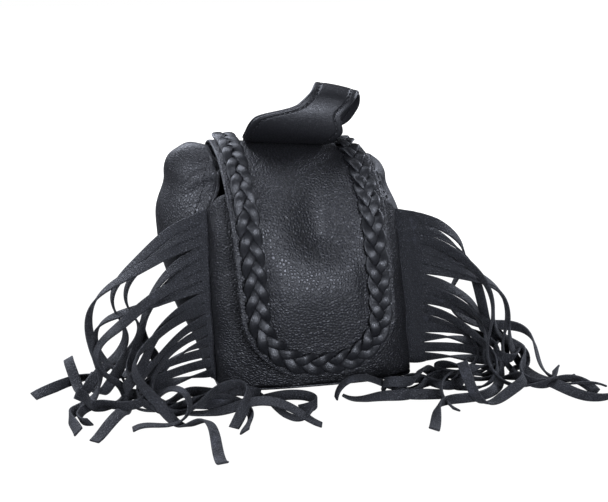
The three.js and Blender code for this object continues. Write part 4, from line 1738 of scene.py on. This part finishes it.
@dataclass
class BackSeams:
    """Rows of stitches down both edges of the back, where the gussets are sewn on."""

    inset: float = 4.0
    heights: tuple[float, float] = (8.0, 116.0)
    points: int = 60  # of each row's line
    stitch: Stitch = Stitch(3.6, 2.7, 0.85)

    def build(self, thread: Finish) -> Piece:
        """Makes both rows on the hide's outer face.

        Args:
            thread: their thread.

        Returns:
            All stitches as one piece.
        """
        z = np.linspace(*self.heights, self.points)
        rows = []
        for side in Side:
            x = side.value * (FORM.seam_half(z) - self.inset)
            line = FORM.slouch(stacked(x, np.array(FORM.back_y), z))
            rows.append(stitches(line, np.broadcast_to([0.0, 1.0, 0.0], line.shape), self.stitch))
        return seat("back_stitches", joined(rows), thread, Body.BAG, Slot.SMOOTH)


# Studio, in metres


@dataclass(frozen=True)
class Lamp:
    """A square soft light: its name, place, the height over the origin it faces, size and watts."""

    name: str
    place: tuple[float, float, float]
    aim: float
    size: float
    watts: float


LAMPS = (
    Lamp("overhead_softbox", (-0.12, 0.34, 1.04), 0.08, 0.6, 8.5),
    Lamp("back_softbox", (-0.55, 0.75, 0.80), 0.10, 0.6, 12.0),
    Lamp("right_softbox", (0.90, 0.40, 0.50), 0.08, 0.4, 6.0),
    Lamp("front_softbox", (0.20, -1.25, 0.32), 0.08, 0.45, 16.0),
    Lamp("left_softbox", (-0.88, -0.45, 0.45), 0.08, 0.35, 6.5),
)


@dataclass
class Studio:
    """A white table under soft lights, and the camera of the photograph."""

    azimuth: float = math.radians(-13)
    elevation: float = math.radians(16)
    distance: float = 0.83
    target: tuple[float, float, float] = (-0.0035, -0.010, 0.070)
    focal_pixels: float = 1290.0
    image_width: float = 608.0
    drop_pixels: float = 17.0  # the target sits this far under the image's middle
    sensor: float = 36.0
    floor_half: float = 3.0
    floor_drop: float = 0.00005  # under the pouch, so that the two don't share a plane
    floor_colour: str = "#707070"
    glow: float = 1.4  # of the table, where the camera sees it
    shown: tuple[float, float] = (0.71, 1.0)  # share of that glow near the pouch and far away
    near: tuple[float, float] = (0.22, 0.42)  # where near ends and far begins
    room_light: float = 0.045
    daylight: str = "#e6ecfc"  # the lamps' slightly cool white

    def camera(self) -> None:
        """Makes the camera at the photograph's angle."""
        data = bpy.data.cameras.new("photo_camera")
        data.sensor_width = self.sensor
        data.lens = self.focal_pixels * self.sensor / self.image_width
        data.shift_y = self.drop_pixels / self.image_width
        made = bpy.data.objects.new("photo_camera", data)
        flat = math.cos(self.elevation)
        back = np.array([
            math.sin(self.azimuth) * flat, -math.cos(self.azimuth) * flat, math.sin(self.elevation)])
        made.location = np.array(self.target) + back * self.distance
        made.rotation_euler = (math.pi / 2 - self.elevation, 0, self.azimuth)
        bpy.context.scene.collection.objects.link(made)
        bpy.context.scene.camera = made

    def light(self, lamp: Lamp) -> None:
        """Makes a soft light.

        Args:
            lamp: what it is like.
        """
        data = bpy.data.lights.new(lamp.name, "AREA")
        data.size, data.energy = lamp.size, lamp.watts
        data.color = linear(self.daylight)[:3]
        made = bpy.data.objects.new(lamp.name, data)
        made.location = lamp.place
        way = made.location - type(made.location)((0, 0, lamp.aim))
        made.rotation_euler = way.to_track_quat("Z", "Y").to_euler()
        bpy.context.scene.collection.objects.link(made)

    def floor(self) -> None:
        """Makes the table: white to the camera, and still taking the pouch's shadow."""
        made, tree, shader = blank("matte_white_table")
        tree.nodes.remove(shader)
        matte = add_node(tree, "ShaderNodeBsdfDiffuse", {}, {"Color": linear(self.floor_colour)})
        glow = add_node(tree, "ShaderNodeEmission", {}, {
            "Color": (1, 1, 1, 1), "Strength": self.glow})
        seen = add_node(tree, "ShaderNodeLightPath", {}, {})
        place = add_node(tree, "ShaderNodeTexCoord", {}, {}).outputs["Object"]
        away = add_node(tree, "ShaderNodeVectorMath", {"operation": "LENGTH"}, {0: place})
        bright = add_node(tree, "ShaderNodeMapRange", {"interpolation_type": "SMOOTHSTEP"}, {
            "Value": away.outputs["Value"], "From Min": self.near[0], "From Max": self.near[1],
            "To Min": self.shown[0], "To Max": self.shown[1]})
        part = add_node(tree, "ShaderNodeMath", {"operation": "MULTIPLY"}, {
            0: seen.outputs["Is Camera Ray"], 1: bright.outputs["Result"]})
        mixed = add_node(tree, "ShaderNodeMixShader", {}, {
            0: part.outputs[0], 1: matte.outputs[0], 2: glow.outputs[0]})
        tree.links.new(mixed.outputs[0], tree.nodes["Material Output"].inputs["Surface"])
        square = np.array([(-1, -1, 0), (1, -1, 0), (1, 1, 0), (-1, 1, 0)])
        corners = square * self.floor_half / MM
        shape = Shape(corners - self.floor_drop / MM * UP, np.array([[0, 1, 2, 3]]), corners)
        add_mesh("table", shape, made)

    def world(self) -> None:
        """Makes the surroundings: white where they are seen, and a weak even light."""
        made = bpy.data.worlds.new("white_room")
        bpy.context.scene.world = made
        made.use_nodes = True
        tree = made.node_tree
        back = tree.nodes["Background"]
        back.inputs["Color"].default_value = (1, 1, 1, 1)
        seen = add_node(tree, "ShaderNodeLightPath", {}, {})
        shown = add_node(tree, "ShaderNodeMath", {"operation": "ADD", "use_clamp": True}, {
            0: seen.outputs["Is Camera Ray"], 1: seen.outputs["Is Transmission Ray"]})
        strength = add_node(tree, "ShaderNodeMapRange", {}, {
            "Value": shown.outputs[0], "To Min": self.room_light, "To Max": 1.0})
        tree.links.new(strength.outputs["Result"], back.inputs["Strength"])

    def build(self) -> None:
        """Sets the view transform and makes camera, lights, table and surroundings."""
        bpy.context.scene.view_settings.view_transform = "Standard"
        self.camera()
        for lamp in LAMPS:
            self.light(lamp)
        self.floor()
        self.world()


def main() -> None:
    """Builds the studio and each part of the pouch in order."""
    logging.basicConfig(level=logging.INFO, format="%(name)s: %(message)s")
    Studio().build()
    pebbled, rolled, smooth = PEBBLED.build(), ROLLED.build(), SMOOTH.build()
    laces, suede, garment = LACE.build(), FRINGE.build(), GARMENT.build()
    thread, nickel = Thread().build(), Nickel().build()
    front = FrontPanel()
    Bottom(front).build(smooth)
    front.build(rolled)
    flap = Flap()
    flap.build(pebbled, smooth)
    SidePuff(Side.LEFT, bulge=28.0, rise=1.0, flap=flap).build(garment, thread)
    SidePuff(Side.RIGHT, bulge=11.0, rise=0.85, flap=flap).build(garment, thread)
    BackSeams().build(thread)
    Plait(flap).build(laces)
    Strap(flap).build(smooth, thread)
    fringes = [Fringe(Side.LEFT, header=3.0), Fringe(Side.RIGHT, header=12.0)]
    for fringe, points in zip(fringes, fallen(fringes)):
        fringe.build(points, suede)
    for node in ("snap_plate", "snap_socket"):
        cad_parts[node].data.materials.clear()
        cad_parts[node].data.materials.append(nickel)


if __name__ == "__main__":
    main()
